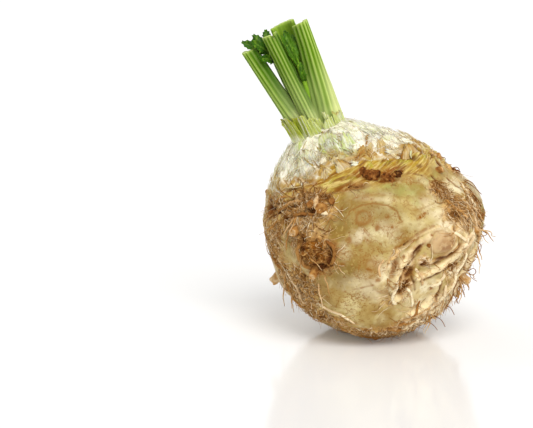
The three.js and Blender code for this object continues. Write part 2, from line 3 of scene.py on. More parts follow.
import bpy
import numpy as np
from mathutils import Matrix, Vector


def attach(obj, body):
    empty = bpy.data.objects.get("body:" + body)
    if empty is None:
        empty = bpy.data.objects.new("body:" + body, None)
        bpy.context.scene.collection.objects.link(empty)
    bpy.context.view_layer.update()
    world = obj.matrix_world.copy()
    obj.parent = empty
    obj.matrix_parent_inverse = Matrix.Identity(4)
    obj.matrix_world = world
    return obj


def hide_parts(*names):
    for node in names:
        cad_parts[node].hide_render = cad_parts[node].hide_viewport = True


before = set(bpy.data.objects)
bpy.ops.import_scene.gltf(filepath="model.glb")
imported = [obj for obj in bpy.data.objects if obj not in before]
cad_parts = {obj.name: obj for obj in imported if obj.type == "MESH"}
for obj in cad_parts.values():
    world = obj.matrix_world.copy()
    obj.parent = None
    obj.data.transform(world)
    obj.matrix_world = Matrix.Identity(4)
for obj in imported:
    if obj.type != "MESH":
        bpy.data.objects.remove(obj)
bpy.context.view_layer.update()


# The root's driving sizes, as in the solid: millimetres, +Z up, the front is -Y
rootForm = {
    "centre": (0, 0, 52.3),
    "meanRadius": 57,
    "depthRadius": 55,
    "outlineRadii": (57.5, 59.6, 54.4, 55, 54.2, 58.5, 57.6, 59.7, 57.5, 55, 54, 54.5, 55.5, 54.8, 54, 53.3),
    "frontTilt": 12,
    "crownAxis": (-0.47, -0.08, 0.88),
    "crownRise": 9.5,
    "crownSpread": 26,
    "rootPole": (0.55, 0.1, -0.83),
    "rippleCount": 7,
    "rippleHeight": 0.42,
    "rippleTurns": (4, 12),
    "rippleSeed": 5,
    "cutRim": 0.35,
    "facingEdge": 0.5,
    # across, up, depth
    "frontCuts": ((2.7, -8, 4.6), (25, 20.3, 1.5), (-11.2, -25.6, 2), (27.7, -30, 2.2)),
    # degrees round, degrees up, depth
    "backCuts": ((118, 8, 3.2), (168, -12, 4.4), (214, 14, 2.6), (256, -16, 3.4)),
    # across, up, height, reach
    "frontLumps": (
        (-29.3, 13.3, 3.2, 6), (-31, -7, 3.4, 12), (-29.5, -8, -6.5, 6), (-52, 13, -2.6, 6), (44, 14.4, 2, 9),
        (39.4, -2.7, 2.6, 7), (24, -19, -2.6, 5), (38, -27, 2.2, 8), (8, 35, -1.8, 7), (20, 45, 2, 7),
    ),
    "backLumps": {
        "count": 14, "round": (95, 270), "up": (-58, 26), "height": (1.2, 3.8), "reach": (5, 9), "seed": 11,
    },
}


def unit(v):
    v = np.asarray(v, float)
    return v / np.linalg.norm(v, axis=-1, keepdims=True)


def dot(a, b):
    return np.sum(np.asarray(a) * b, axis=-1)


def between(low, high, s):
    return low + (high - low) * s


def smooth(low, high, x):
    s = np.clip((x - low) / (high - low), 0, 1)
    return s * s * (3 - 2 * s)


# A smooth curve from b to c, with a before and d after them
def curveBetween(a, b, c, d, f):
    return b + 0.5 * f * (c - a + f * (2 * a - 5 * b + 4 * c - d + f * (3 * (b - c) + d - a)))


# The solid's own seeded draw, so that what it placed is found again
def drawFrom(seed):
    state = seed

    def draw(low=0.0, high=1.0):
        nonlocal state
        state = (state * 1664525 + 1013904223) % 2**32
        return between(low, high, state / 2**32)

    return draw


def onFront(across, up):
    u, v = across / meanRadius, up / meanRadius
    w = np.sqrt(np.maximum(1 - u * u - v * v, 0.001))
    c, s = math.cos(frontTilt), math.sin(frontTilt)
    return unit(np.stack(np.broadcast_arrays(u, v * s - w * c, v * c + w * s), axis=-1))


def onBearing(aroundDegrees, upDegrees):
    b, e = np.radians(aroundDegrees), np.radians(upDegrees)
    return np.stack(np.broadcast_arrays(np.sin(b) * np.cos(e), -np.cos(b) * np.cos(e), np.sin(e)), axis=-1)


def angleBetween(a, b):
    return np.arccos(np.clip(dot(a, b), -1, 1))


# Two directions along the surface at d: towards a pole, and across
def alongSurface(d, pole):
    towards = unit(pole - d * dot(d, pole)[..., None])
    return towards, np.cross(d, towards)


def fromCrown(azimuth, angle):
    towards, across = alongSurface(crownAxis, np.array((0, -1.0, 0)))
    azimuth, angle = np.broadcast_arrays(azimuth, angle)
    aside = towards * np.cos(azimuth)[..., None] + across * np.sin(azimuth)[..., None]
    return unit(crownAxis * np.cos(angle)[..., None] + aside * np.sin(angle)[..., None])


def crownPlace(d):
    towards, across = alongSurface(crownAxis, np.array((0, -1.0, 0)))
    return np.arctan2(dot(d, across), dot(d, towards)), angleBetween(d, crownAxis)


frontTilt = math.radians(rootForm["frontTilt"])
rootCentre = np.array(rootForm["centre"])
meanRadius = rootForm["meanRadius"]
crownAxis = unit(rootForm["crownAxis"])
rootPole = unit(rootForm["rootPole"])


def outlineAt(angle):
    radii = np.array(rootForm["outlineRadii"])
    n = len(radii)
    t = (angle / (2 * math.pi) + 1) * n
    i = np.floor(t).astype(int)
    f = t - i
    a, b, c, d = (radii[(i + k + n) % n] for k in (-1, 0, 1, 2))
    return curveBetween(a, b, c, d, f)


def makeRipples():
    draw = drawFrom(rootForm["rippleSeed"])
    ways, phases = [], []
    for i in range(rootForm["rippleCount"]):
        way = unit([draw(-1, 1), draw(-1, 1), draw(-1, 1)])
        ways.append(way * between(*rootForm["rippleTurns"], i / (rootForm["rippleCount"] - 1)))
        phases.append(draw(0, 2 * math.pi))
    return np.array(ways), np.array(phases)


def makeLumps():
    lumps = [(onFront(across, up), height, reach) for across, up, height, reach in rootForm["frontLumps"]]
    spec = rootForm["backLumps"]
    draw = drawFrom(spec["seed"])
    for i in range(spec["count"]):
        around = between(*spec["round"], (i + draw()) / spec["count"])
        at = onBearing(around, draw(*spec["up"]))
        lumps.append((at, draw(*spec["height"]), draw(*spec["reach"])))
    return lumps


def roundRadius(d):
    flatness = 1 - d[..., 1] ** 2
    outline = outlineAt(np.arctan2(d[..., 2], d[..., 0]))
    base = rootForm["depthRadius"] + (outline - rootForm["depthRadius"]) * flatness
    away = angleBetween(d, crownAxis) / math.radians(rootForm["crownSpread"])
    uneven = sum(np.sin(dot(d, way) + phase) for way, phase in zip(*ripples))
    return base + rootForm["crownRise"] * np.exp(-away * away) + rootForm["rippleHeight"] * uneven


ripples = makeRipples()
lumps = makeLumps()
cutNormals = [onFront(across, up) for across, up, depth in rootForm["frontCuts"]]
cutNormals += [onBearing(around, up) for around, up, depth in rootForm["backCuts"]]
cutDepths = [cut[2] for cut in rootForm["frontCuts"] + rootForm["backCuts"]]
cutDistances = [roundRadius(normal) - depth for normal, depth in zip(cutNormals, cutDepths)]


# The solid's radius, and how deep the knife went below the round form
def formRadius(d):
    whole = roundRadius(d)
    r = whole
    rim = rootForm["cutRim"]
    for normal, distance in zip(cutNormals, cutDistances):
        facing = dot(d, normal)
        near = facing >= rootForm["facingEdge"]
        flat = distance / np.where(near, facing, 1)
        low = np.minimum(r, flat)
        soft = low - rim * np.log(np.exp((low - r) / rim) + np.exp((low - flat) / rim))
        r = np.where(near, soft, r)
    trimmed = whole - r
    for at, height, reach in lumps:
        away = angleBetween(d, at) * meanRadius / reach
        r = r + height * np.exp(-away * away)
    return r, trimmed


# The front view's camera, and where it shows a point of the object, in the picture's points
view = {
    "target": (-56.8, 0, 63.8), "distance": 1200, "pointSize": 0.533, "middle": (266.5, 214),
    "reach": 54, "steps": 8, "pull": 0.8,  # how facing looks for a place
}
towardsCamera = np.array((0, -math.cos(frontTilt), math.sin(frontTilt)))
upInPicture = np.array((0, math.sin(frontTilt), math.cos(frontTilt)))
rightInPicture = np.array((1.0, 0, 0))


def seenAt(points):
    offset = points - np.array(view["target"])
    near = view["distance"] / (view["distance"] - dot(offset, towardsCamera)) / view["pointSize"]
    x = view["middle"][0] + dot(offset, rightInPicture) * near
    y = view["middle"][1] - dot(offset, upInPicture) * near
    return np.stack((x, y), -1)


# Directions from the root's centre to places of the front, given in the picture's points
def facing(pictureX, pictureY):
    wanted = np.stack(np.broadcast_arrays(np.asarray(pictureX, float), pictureY), -1)
    centreSeen = seenAt(rootCentre)
    offset = (wanted - centreSeen) * view["pointSize"] * (1, -1)
    reach = np.linalg.norm(offset, axis=-1, keepdims=True)
    offset = offset * np.minimum(1, view["reach"] / np.maximum(reach, 1))
    d = onFront(offset[..., 0], offset[..., 1])
    for step in range(view["steps"]):
        r = formRadius(d)[0][..., None]
        wrong = (wanted - seenAt(rootCentre + d * r)) * view["pointSize"]
        aside = rightInPicture * wrong[..., :1] - upInPicture * wrong[..., 1:]
        d = unit(d + view["pull"] * aside / r)
    return d


latticeSize = 32  # a power of two, so that & wraps it
noiseLattice = np.random.default_rng(3).uniform(-1, 1, (latticeSize,) * 3)
jitterLattice = np.random.default_rng(4).uniform(0, 1, (latticeSize,) * 3 + (3,))


# Smooth noise from -1 to 1, one cell a unit
def smoothNoise(points):
    cell = np.floor(points).astype(int)
    f = points - cell
    f = f * f * (3 - 2 * f)
    total = 0
    for corner in np.ndindex(2, 2, 2):
        at = (cell + corner) & (latticeSize - 1)
        weight = np.prod(np.where(np.array(corner), f, 1 - f), axis=-1)
        total = total + noiseLattice[at[..., 0], at[..., 1], at[..., 2]] * weight
    return total


# Noise whose largest features are some millimetres across, each further layer half the size and lower
def layeredNoise(points, size, layers=3, shift=0.0):
    total, height, whole = 0, 1.0, 0.0
    for i in range(layers):
        total = total + height * smoothNoise(points / size * 2**i + shift + 7.3 * i)
        whole += height
        height *= 0.55
    return total / whole


# The same over coordinates that are worked out apart
def noiseOn(coordinates, size, layers):
    return layeredNoise(np.stack(np.broadcast_arrays(*coordinates), -1), size, layers)


# Distance to the nearest and second nearest of scattered points, one a cell, and a number of the nearest
def cellNoise(points, size, shift=0.0):
    q = points / size + shift
    base = np.floor(q).astype(int)
    first = np.full(q.shape[:-1], 9.0)
    second = np.full(q.shape[:-1], 9.0)
    number = np.zeros(q.shape[:-1])
    for offset in np.ndindex(3, 3, 3):
        cell = base + np.array(offset) - 1
        at = cell & (latticeSize - 1)
        jitter = jitterLattice[at[..., 0], at[..., 1], at[..., 2]]
        away = np.linalg.norm(q - cell - jitter, axis=-1)
        nearer = away < first
        second = np.where(nearer, first, np.minimum(second, away))
        number = np.where(nearer, jitter[..., 0], number)
        first = np.where(nearer, away, first)
    return first, second, number


print("root surface")

# How far the crown of torn leaf bases reaches from its axis, in degrees, every 30 degrees round from the front.
# Each leaf that was pulled off left a scar, hollow and with a torn rim.
crownZone = {
    "edge": (31, 35, 48, 56, 57, 53, 47, 50, 46, 43, 36, 32),
    "raggedness": 9,  # degrees
    "fade": 0.03,  # radians, over which the crown's look ends
    "bandWidth": 14,  # degrees
    "scarSize": 9.5,  # mm
    "rimHeight": 0.8,
    "scarDepth": 1.1,
    "fibreWidth": 1.1,
    "fibreHeight": 0.45,
    "lumpHeight": 0.9,
}
# Where rootlets cover the root, as ranges over which they set in: along the root pole, towards the back, towards
# the floor, by the knife's depth in mm, and along X, Y and Z for the part that was rubbed pale
rootyZone = {
    "pole": (0.55, 0.9), "raggedness": 0.22, "patchSize": 16, "back": (-0.25, 0.1), "under": (0.2, -0.5),
    "underShare": 0.8, "trimmed": (0.2, 0.8), "spared": 0.75, "rubbed": ((0.1, 0.5), (0.3, -0.2), (0.25, 0.0)),
}
# Heights and sizes in mm of what covers the root below the crown
bandRelief = {"streakHeight": 1.3, "lumpHeight": 0.7}
corkRelief = {"lumpSize": 3.2, "fineSize": 1.7, "barkSize": 2.6, "barkHeight": 1.2, "lumpHeight": 1.0}
plainRelief = {"waveSize": 11, "waveHeight": 0.35, "grainSize": 2.4, "grainHeight": 0.09}


def crownEdgeAt(azimuth):
    edge = np.array(crownZone["edge"], float)
    t = (azimuth / (2 * math.pi) % 1) * len(edge)
    i = np.floor(t).astype(int)
    return np.radians(between(edge[i % len(edge)], edge[(i + 1) % len(edge)], smooth(0, 1, t - i)))


# What is seen on the front, in the picture's points: place, half width, half height, degrees turned to the left.
# Each layer is a mask for the skin's material; height is how far it stands out, or goes in.
frontMarks = {
    "rooty": (
        (272, 208, 17, 12, 20, 1, 0), (306, 205, 27, 15, 10, 1, 0), (302, 226, 26, 15, -20, 0.8, 0.5),
        (316, 252, 20, 20, 0, 1, 0), (316, 250, 14, 14, 0, 1, 5.5), (437, 189, 9, 8, 20, 1, 0.2),
        (457, 209, 14, 15, -50, 1, 0.5), (475, 196, 8, 22, 20, 0.8, 0), (482, 226, 12, 34, 0, 0.8, 0),
        (472, 258, 14, 30, -12, 0.8, 0), (458, 288, 17, 26, -38, 0.8, 0), (432, 318, 34, 10, 30, 0.9, 0),
        (385, 333, 40, 13, 5, 1, 0), (402, 286, 10, 13, 10, 0.9, 0.2), (436, 152, 8, 5, -35, 0.8, 0),
        (452, 165, 12, 5, -40, 0.8, 0), (352, 186, 9, 4, 30, 0.5, 0), (300, 290, 22, 26, 0, 0.9, 0),
        (322, 318, 30, 14, -20, 0.9, 0), (452, 266, 12, 10, -30, 0.8, 0), (425, 262, 8, 6, -40, 0.8, 0),
        (445, 301, 14, 9, 35, 0.8, 0.2), (274, 238, 15, 26, 0, 0.9, 0.2), (282, 272, 18, 24, 0, 0.8, 0),
        (462, 248, 8, 12, -20, 0.7, 0), (404, 270, 7, 12, -30, 0.7, 0), (392, 300, 12, 7, 10, 0.5, 0),
    ),
    # dark: brown matter in crevices, slits and hollows, and painted shade in them, also under the knob row
    "dark": (
        (270, 210, 6, 5, 10, 1, -1.4), (285, 219, 4, 3, 0, 0.9, -0.8), (271, 199, 4, 3, 20, 0.8, -0.5),
        (313, 211, 5, 3, 0, 1, -1.4), (324, 198, 5, 3, 20, 1, -1), (330, 200, 3, 2, 0, 0.8, -0.6),
        (304, 243, 5, 8, 30, 1, -1.8), (331, 256, 4, 10, -12, 1, -1.8), (318, 267, 8, 4, 0, 1, -1.6),
        (401, 156, 8, 3, -25, 0.7, -1.6), (416, 150, 8, 3.4, -22, 0.7, -1.6), (419, 166, 4, 2, 0, 0.6, -0.3),
        (440, 165, 2, 4, -20, 1, -1.1), (329, 153, 1.4, 4, 25, 0.8, -0.9), (298, 156, 1.4, 2.2, 20, 0.8, -0.5),
        (417, 249, 2.2, 7.5, -42, 1, -2.2), (423, 264, 2.6, 2.6, 0, 1, -1.6), (453, 251, 2, 8.5, -42, 1, -2.2),
        (441, 258, 6.5, 2, 12, 0.9, -1.4), (409, 273, 3.2, 6, -40, 0.75, -1.6),
        (406, 285, 2.4, 5, -10, 0.8, -1.4), (379, 178, 20, 4, 3, 0.4, -1.4), (360, 187, 10, 2.4, 20, 0.5, -0.4),
        (301, 185, 2.4, 8, 50, 0.6, -0.8), (409, 158, 9, 3, -20, 0.8, -1.2), (458, 167, 3, 2, -30, 0.9, 0.4),
        (394, 185, 2.2, 1.4, 0, 0.5, 0), (442, 195, 2.4, 5, 40, 0.8, -0.9), (455, 214, 4, 5, -20, 0.8, -1),
        (399, 291, 2, 4, 20, 0.7, -1.2), (466, 228, 2, 4, -20, 0.7, -1), (436, 262, 4, 2, 10, 0.7, -1.2),
        (461, 268, 1.8, 5, -30, 0.7, -1.1),
    ),
    # brown stains and specks, and painted shade round the knobs
    "stain": (
        (316, 250, 14, 14, 0, 0.9, 0), (366, 174, 10, 6, 0, 1, 0), (383, 177, 8, 7, 0, 1, 0),
        (395, 172, 7, 6, 0, 1, 0), (348, 187, 12, 4, 25, 0.8, 0), (377, 228, 3, 3.6, 0, 0.6, 0),
        (387, 216, 1.8, 2.2, 0, 0.6, 0), (392, 227, 1.5, 1.3, 0, 0.7, 0), (400, 222, 2.2, 1.3, 20, 0.6, 0),
        (349, 240, 2.8, 3.4, 0, 0.55, 0), (361, 250, 2, 1.4, 0, 0.4, 0), (378, 280, 2.6, 1.9, 0, 0.6, 0),
        (341, 265, 3.6, 3, 0, 0.5, 0), (369, 270, 3, 1.3, -20, 0.7, 0), (422, 216, 5.5, 1.7, 25, 0.9, 0),
        (394, 268, 3, 10, -18, 0.6, -0.5), (342, 211, 1.2, 3, 10, 0.5, 0), (430, 288, 2.8, 2.2, 20, 0.8, -0.2),
        (446, 244, 9, 6.5, 30, 0.35, 0), (305, 205, 26, 14, 0, 0.1, 0), (370, 243, 8, 3, -50, 0.3, 0),
        (400, 160, 14, 3, 12, 0.4, 0), (330, 178, 24, 5, 25, 0.3, 0), (361, 155, 3, 9, -30, 0.6, 0),
        (309, 183, 12, 5, 20, 0.4, 0), (358, 186, 6, 3, 20, 0.5, 0), (384, 292, 8, 3, -15, 0.4, 0),
        (431, 235, 2, 1.2, 0, 0.8, 0), (413, 241, 7, 1.8, 35, 0.6, -0.3),
    ),
    "green": (
        (410, 190, 18, 7, 0, 0.7, 0), (390, 186, 22, 3, 5, 0.6, 0), (416, 202, 5, 5, 0, 0.5, -0.3),
        (328, 145, 6, 5, 0, 0.9, 0), (349, 153, 9, 5, 30, 0.9, 0), (303, 138, 7, 7, 0, 0.9, 0),
        (283, 205, 10, 2.2, 28, 0.9, 0.4), (432, 178, 12, 3, 25, 0.5, 0), (386, 141, 4, 3, 0, 0.6, 0),
        (345, 132, 12, 5, 0, 0.3, 0), (300, 165, 5, 5, 0, 0.4, 0), (353, 178, 7, 2, 25, 0.8, 0.2),
        (372, 190, 18, 3, 4, 0.4, 0), (332, 143, 10, 4, -30, 0.6, 0), (334, 149, 18, 11, 10, 0.3, -2.8),
    ),
    "pale": (
        (359, 236, 9, 6, 20, 0.6, 0), (455, 186, 14, 8, 0, 0.8, 0.2), (450, 226, 18, 8, 0, 0.8, 0),
        (418, 293, 12, 18, -40, 0.6, 0), (400, 262, 8, 10, 0, 0.3, 0), (472, 240, 6, 12, 0, 0.5, 0),
        (440, 214, 14, 7, 0, 0.5, 0), (378, 199, 24, 2, 0, 0.15, 0), (392, 288, 10, 8, 0, 0.3, 0),
        (430, 203, 12, 9, 0, 0.4, 0), (387, 142, 14, 7, 5, 0.6, 1.2), (352, 130, 12, 6, 0, 0.5, 0.8),
        (439, 268, 10, 4.5, 15, 0.9, 0.9), (381, 262, 10, 5, 0, 0.3, 0), (388, 274, 8, 16, -20, 0.7, 0),
        (372, 289, 24, 12, -12, 0.5, 0), (384, 232, 12, 8, 0, 0.35, 0), (344, 250, 6, 8, 0, 0.3, 0),
        (481, 214, 30, 32, 0, 0.02, -2.4),
    ),
    "ochre": (
        (338, 240, 17, 42, 0, 0.9, 0), (344, 274, 19, 16, 0, 1, 0), (330, 200, 30, 9, 20, 0.9, 0),
        (360, 292, 14, 8, 0, 0.6, 0), (398, 210, 12, 5, 0, 0.4, 0), (405, 232, 14, 5, 30, 0.5, 0),
        (398, 252, 10, 4, 35, 0.7, -0.2), (394, 270, 4, 12, -18, 0.9, -0.4), (420, 180, 20, 3, 12, 0.5, 0),
        (357, 228, 8, 12, 0, 0.6, 0), (400, 190, 24, 7, 5, 0.6, 0), (372, 246, 16, 9, -30, 0.4, 0),
        (362, 153, 6, 12, -25, 0.9, -0.4), (400, 155, 12, 5, 12, 0.8, -0.3), (438, 172, 12, 5, -20, 0.6, 0),
        (380, 214, 20, 9, 0, 0.5, -0.15), (350, 255, 12, 14, 0, 0.6, 0),
    ),
    "cutFace": (
        (441, 243, 13, 12, 20, 1, 0.6),
    ),
    "peeled": (
        (423, 291, 12, 17, -35, 1, 0.4), (388, 284, 7, 16, -15, 0.8, 0), (455, 188, 12, 7, -20, 0.9, 0.3),
        (474, 247, 6, 14, -10, 0.9, 0.2), (458, 284, 6, 13, -38, 0.9, 0.2),
    ),
    "grey": (
        (374, 218, 23, 14, 0, 0.75, -0.15), (390, 226, 10, 11, 0, 0.4, 0), (416, 151, 6, 3, -22, 0.8, 0),
        (408, 258, 5, 3, -40, 0.5, 0),
    ),
}
# Lines on the front: the layer they belong to, half width in points, strength and height, then their course
frontLines = (
    ("ring", 0.6, 0.9, -0.3,
     ((346, 218), (350, 211), (361, 205.5), (373, 203), (388, 205.5), (397, 211), (400, 219))),
    ("ring", 0.7, 0.35, -0.1, ((338, 214), (346, 202), (360, 196), (378, 194), (398, 197))),
    ("ring", 0.6, 0.35, 0, ((404, 206), (412, 211), (424, 208), (434, 203))),
    # dark lines: brown matter along crevices, with painted shade in them
    ("dark", 1.2, 1, -1.7, ((334, 162), (342, 162.5), (349, 165), (356, 164))),
    ("dark", 0.7, 0.6, -0.5, ((314, 137), (324, 134.5), (334, 134), (344, 136))),
    ("dark", 0.7, 0.7, -0.7, ((324, 146), (328, 153), (331, 157))),
    ("dark", 1.1, 0.9, -1.2, ((266, 204), (276, 207), (286, 203), (294, 199))),
    ("dark", 1.1, 1, -1.3, ((274, 216), (282, 211), (292, 207), (300, 205))),
    ("dark", 0.8, 0.7, -0.8, ((278, 222), (288, 219), (299, 215), (307, 214))),
    ("dark", 0.6, 0.7, -0.4, ((399, 174), (408, 173.5), (416, 174), (422, 175.5))),
    ("dark", 0.9, 0.7, -0.8, ((436, 160), (438, 166), (440, 171))),
    ("dark", 0.9, 0.9, -1.1, ((432, 176), (438, 182), (443, 190), (446, 198), (452, 203))),
    ("dark", 0.8, 0.8, -1.0, ((447, 178), (454, 186), (462, 192), (467, 200))),
    ("dark", 0.8, 0.6, -1.5, ((433, 226), (424, 230), (413, 237), (404, 245))),
    # painted shade along the left side of the pale ridge
    ("stain", 1.2, 0.6, -0.3, ((404, 256), (395, 266), (390, 279), (387, 290))),
    ("dark", 0.8, 0.6, -1.0, ((420, 250), (411, 260), (404, 270), (399, 281), (397, 291))),
    ("dark", 0.8, 0.8, -1.0, ((455, 264), (445, 269), (434, 275), (421, 281))),
    ("dark", 0.8, 0.8, -1.0, ((470, 238), (466, 248), (461, 259), (452, 270))),
    ("dark", 0.8, 0.8, -0.9, ((441, 281), (437.5, 296), (429, 308), (410, 318))),
    ("dark", 0.8, 0.7, -1.0, ((470, 268), (457, 285), (446, 299), (431, 310))),
    ("ridge", 3.1, 1, 1.5,
     ((429, 237), (416, 248), (407, 257.5), (399, 267.5), (394.5, 280), (392, 291), (395, 299))),
    ("ridge", 3.2, 1, 1.4, ((464, 236), (462, 243), (457, 254), (445, 262.5), (432, 270), (418, 277))),
    ("ridge", 1.8, 0.9, 1.0, ((455, 245), (447, 255), (436, 261), (425, 263))),
    ("ridge", 2.4, 0.9, 1.2, ((472, 250), (466, 267), (453, 280), (442, 295), (427, 306), (411, 313))),
    ("ridge", 2.0, 1, 0.9, ((437, 281), (433, 295), (425, 305), (407, 314))),
    ("ridge", 1.6, 0.5, 0.7, ((438, 227), (427, 231), (417, 236), (409, 244), (400, 250))),
    ("ridge", 2.0, 0.8, 0.9, ((478, 224), (476, 240), (471, 256), (463, 272))),
    ("ridge", 1.6, 0.7, 0.8, ((466, 277), (456, 291), (444, 304), (430, 314))),
    ("dark", 0.7, 0.5, -0.8, ((404, 268), (410, 274), (414, 282), (415, 290))),
    ("pale", 1.5, 0.8, 0.9, ((311, 140), (309, 150), (305, 160), (296, 168))),
    ("green", 2.4, 1, 0.8, ((430, 155.5), (414, 159), (398, 162), (384, 163.5), (370, 166))),
    ("ochre", 3.2, 0.9, 0.5, ((372, 167), (358, 172), (342, 178), (326, 182), (306, 190))),
    ("ochre", 2.4, 1, -0.3, ((366, 170), (352, 177), (338, 186), (322, 191))),
    ("stain", 1.6, 0.7, 0, ((370, 142), (365, 150), (360, 160))),
    ("stain", 1.3, 0.6, 0, ((331, 190), (345, 186), (356, 182), (362, 178))),
    ("stain", 0.7, 0.5, 0, ((364, 230), (369, 236), (372, 243), (380, 250))),
    ("stain", 0.6, 0.5, 0, ((368, 244), (375, 240), (381, 244), (384, 251), (378, 255))),
    ("stain", 1.0, 0.7, 0.1, ((408, 238), (400, 246), (392, 250), (382, 252))),
    ("stain", 0.7, 0.5, 0, ((344, 292), (360, 288), (377, 284), (392, 286))),
    ("rooty", 3.4, 0.9, 0.5, ((446, 202), (454, 214), (456, 226), (452, 236))),
    ("rooty", 2.4, 0.8, 0.3, ((398, 250), (390, 262), (386, 280), (388, 296))),
)
# The other sides have marks of the same kinds, drawn: how many, their half sizes, heights and places
backMarks = {
    "rooty": {"count": 26, "reach": (5, 13), "height": (-0.3, 0.8), "up": (-75, 12)},
    "dark": {"count": 55, "reach": (0.7, 2.2), "height": (-1.6, -0.5), "up": (-75, 40)},
    "stain": {"count": 70, "reach": (0.8, 3.2), "height": (-0.2, 0.1), "up": (-70, 30)},
    "green": {"count": 14, "reach": (4, 10), "height": (0, 0.2), "up": (0, 50)},
    "pale": {"count": 30, "reach": (3, 10), "height": (0, 0.5), "up": (-60, 35)},
    "ochre": {"count": 26, "reach": (4, 12), "height": (-0.3, 0.3), "up": (-60, 30)},
    "cutFace": {"count": 5, "reach": (3, 5), "height": (0.3, 0.6), "up": (-50, 10)},
    "peeled": {"count": 8, "reach": (4, 9), "height": (0.1, 0.4), "up": (-70, 10)},
    "grey": {"count": 12, "reach": (4, 9), "height": (-0.2, 0), "up": (-50, 20)},
}
backMarksSeed = 41
# Scars of roots that were cut off: picture point, radius in points, ring width, strength
frontRings = (
    (363, 218, 6.6, 2.0, 1), (339, 226, 7.5, 1.0, 0.4), (411, 201, 4.6, 1.1, 0.4), (371, 265, 5.2, 1.4, 0.6),
    (441, 243, 12.2, 0.7, 0.6),
)
backRings = {"count": 16, "radius": (1.6, 4.4), "width": (0.4, 0.9), "up": (-55, 25), "seed": 43}


def frameAt(d):
    right = unit(np.cross(np.array((0, 0, 1.0)), d))
    return right, np.cross(d, right)


# Places, reaches, turns, strengths and heights of all marks of a layer, the drawn ones after the listed ones
def marksOf(layer):
    rows = np.array(frontMarks[layer], float)
    at = facing(rows[:, 0], rows[:, 1])
    reach = rows[:, 2:4] * view["pointSize"]
    turn, strength, height = np.radians(rows[:, 4]), rows[:, 5], rows[:, 6]
    spec = backMarks[layer]
    rng = np.random.default_rng(backMarksSeed + sorted(backMarks).index(layer))
    n = spec["count"]
    drawnAt = onBearing(rng.uniform(75, 285, n), rng.uniform(*spec["up"], n))
    drawnReach = rng.uniform(*spec["reach"], (n, 1)) * rng.uniform(0.5, 1.2, (n, 2))
    return (
        np.concatenate((at, drawnAt)),
        np.concatenate((reach, drawnReach)),
        np.concatenate((turn, rng.uniform(0, math.pi, n))),
        np.concatenate((strength, rng.uniform(0.5, 1, n))),
        np.concatenate((height, rng.uniform(*spec["height"], n))),
    )


def ringsOf():
    rows = np.array(frontRings, float)
    at = facing(rows[:, 0], rows[:, 1])
    rng = np.random.default_rng(backRings["seed"])
    n = backRings["count"]
    drawnAt = onBearing(rng.uniform(80, 280, n), rng.uniform(*backRings["up"], n))
    radius = np.concatenate((rows[:, 2] * view["pointSize"], rng.uniform(*backRings["radius"], n)))
    width = np.concatenate((rows[:, 3] * view["pointSize"], rng.uniform(*backRings["width"], n)))
    strength = np.concatenate((rows[:, 4], rng.uniform(0.3, 1, n)))
    return np.concatenate((at, drawnAt)), radius, width, strength


def linesOf():
    lines = []
    for layer, halfWidth, strength, height, course in frontLines:
        at = facing(*np.array(course, float).T)
        lines.append((layer, at * formRadius(at)[0][:, None], halfWidth * view["pointSize"], strength, height))
    return lines


allMarks = {layer: marksOf(layer) for layer in frontMarks}
allRings = ringsOf()
allLines = linesOf()
softLayers = ("ochre", "grey", "green", "pale")  # their marks fade out widely
unbrokenLayers = ("ridge", "ring")  # their lines have no gaps
leastRadius = 50  # mm, so that the search round a mark is never too narrow
widestSearch = 1.5  # radians


# Each of the three adds its masks to the layers and its heights to the relief, at directions d and points p
def layMarks(d, p, edgeNoise, layers, relief):
    for layer, (at, reach, turn, strength, height) in allMarks.items():
        mask = np.zeros(len(d))
        right, up = frameAt(at)
        centres = at * formRadius(at)[0][:, None]
        softness = 0.8 if layer in softLayers else 0.5
        for i in range(len(at)):
            near = np.flatnonzero(d @ at[i] > math.cos(min(widestSearch, 2 * reach[i].max() / leastRadius + 0.05)))
            offset = p[near] - centres[i]
            x, y, n = dot(offset, right[i]), dot(offset, up[i]), dot(offset, at[i])
            c, s = math.cos(turn[i]), math.sin(turn[i])
            x, y = x * c + y * s, y * c - x * s
            rho = np.sqrt((x / reach[i, 0]) ** 2 + (y / reach[i, 1]) ** 2 + (n / max(reach[i].max(), 4)) ** 2)
            rho = rho + 0.5 * edgeNoise[near]
            mask[near] = np.maximum(mask[near], strength[i] * smooth(1 + softness, 1 - softness, rho))
            if height[i]:
                relief[near] += height[i] * smooth(1.3, 0.3, rho)
            # round each dark mark, a rusty stain with painted shade
            if layer == "dark":
                halo = 0.6 * strength[i] * smooth(2.4, 0.9, rho)
                layers["stain"][near] = np.maximum(layers["stain"][near], halo)
        layers[layer] = np.maximum(mask, layers.get(layer, 0))


def layLines(d, p, edgeNoise, layers, relief):
    for layer, course, halfWidth, strength, height in allLines:
        middle = course.mean(0)
        span = np.linalg.norm(course - middle, axis=1).max() + 6 * halfWidth
        near = np.flatnonzero(d @ unit(middle) > math.cos(min(widestSearch, span / leastRadius)))
        away = np.full(len(near), 99.0)
        for a, b in zip(course[:-1], course[1:]):
            t = np.clip(dot(p[near] - a, b - a) / dot(b - a, b - a), 0, 1)
            away = np.minimum(away, np.linalg.norm(p[near] - a - t[:, None] * (b - a), axis=-1))
        broken = 1
        if layer not in unbrokenLayers:
            broken = smooth(-0.45, 0.25, layeredNoise(p[near], 2.6, 2, 30 + halfWidth))
        here = broken * smooth(2.0, 0.4, away / halfWidth + 0.9 * edgeNoise[near])
        layers[layer][near] = np.maximum(layers[layer][near], strength * here)
        relief[near] += height * here
        if layer == "dark":  # crevices are rusty along their sides, a stain with painted shade
            halo = 0.7 * strength * smooth(3.0, 1.0, away / halfWidth + 0.9 * edgeNoise[near])
            layers["stain"][near] = np.maximum(layers["stain"][near], halo)


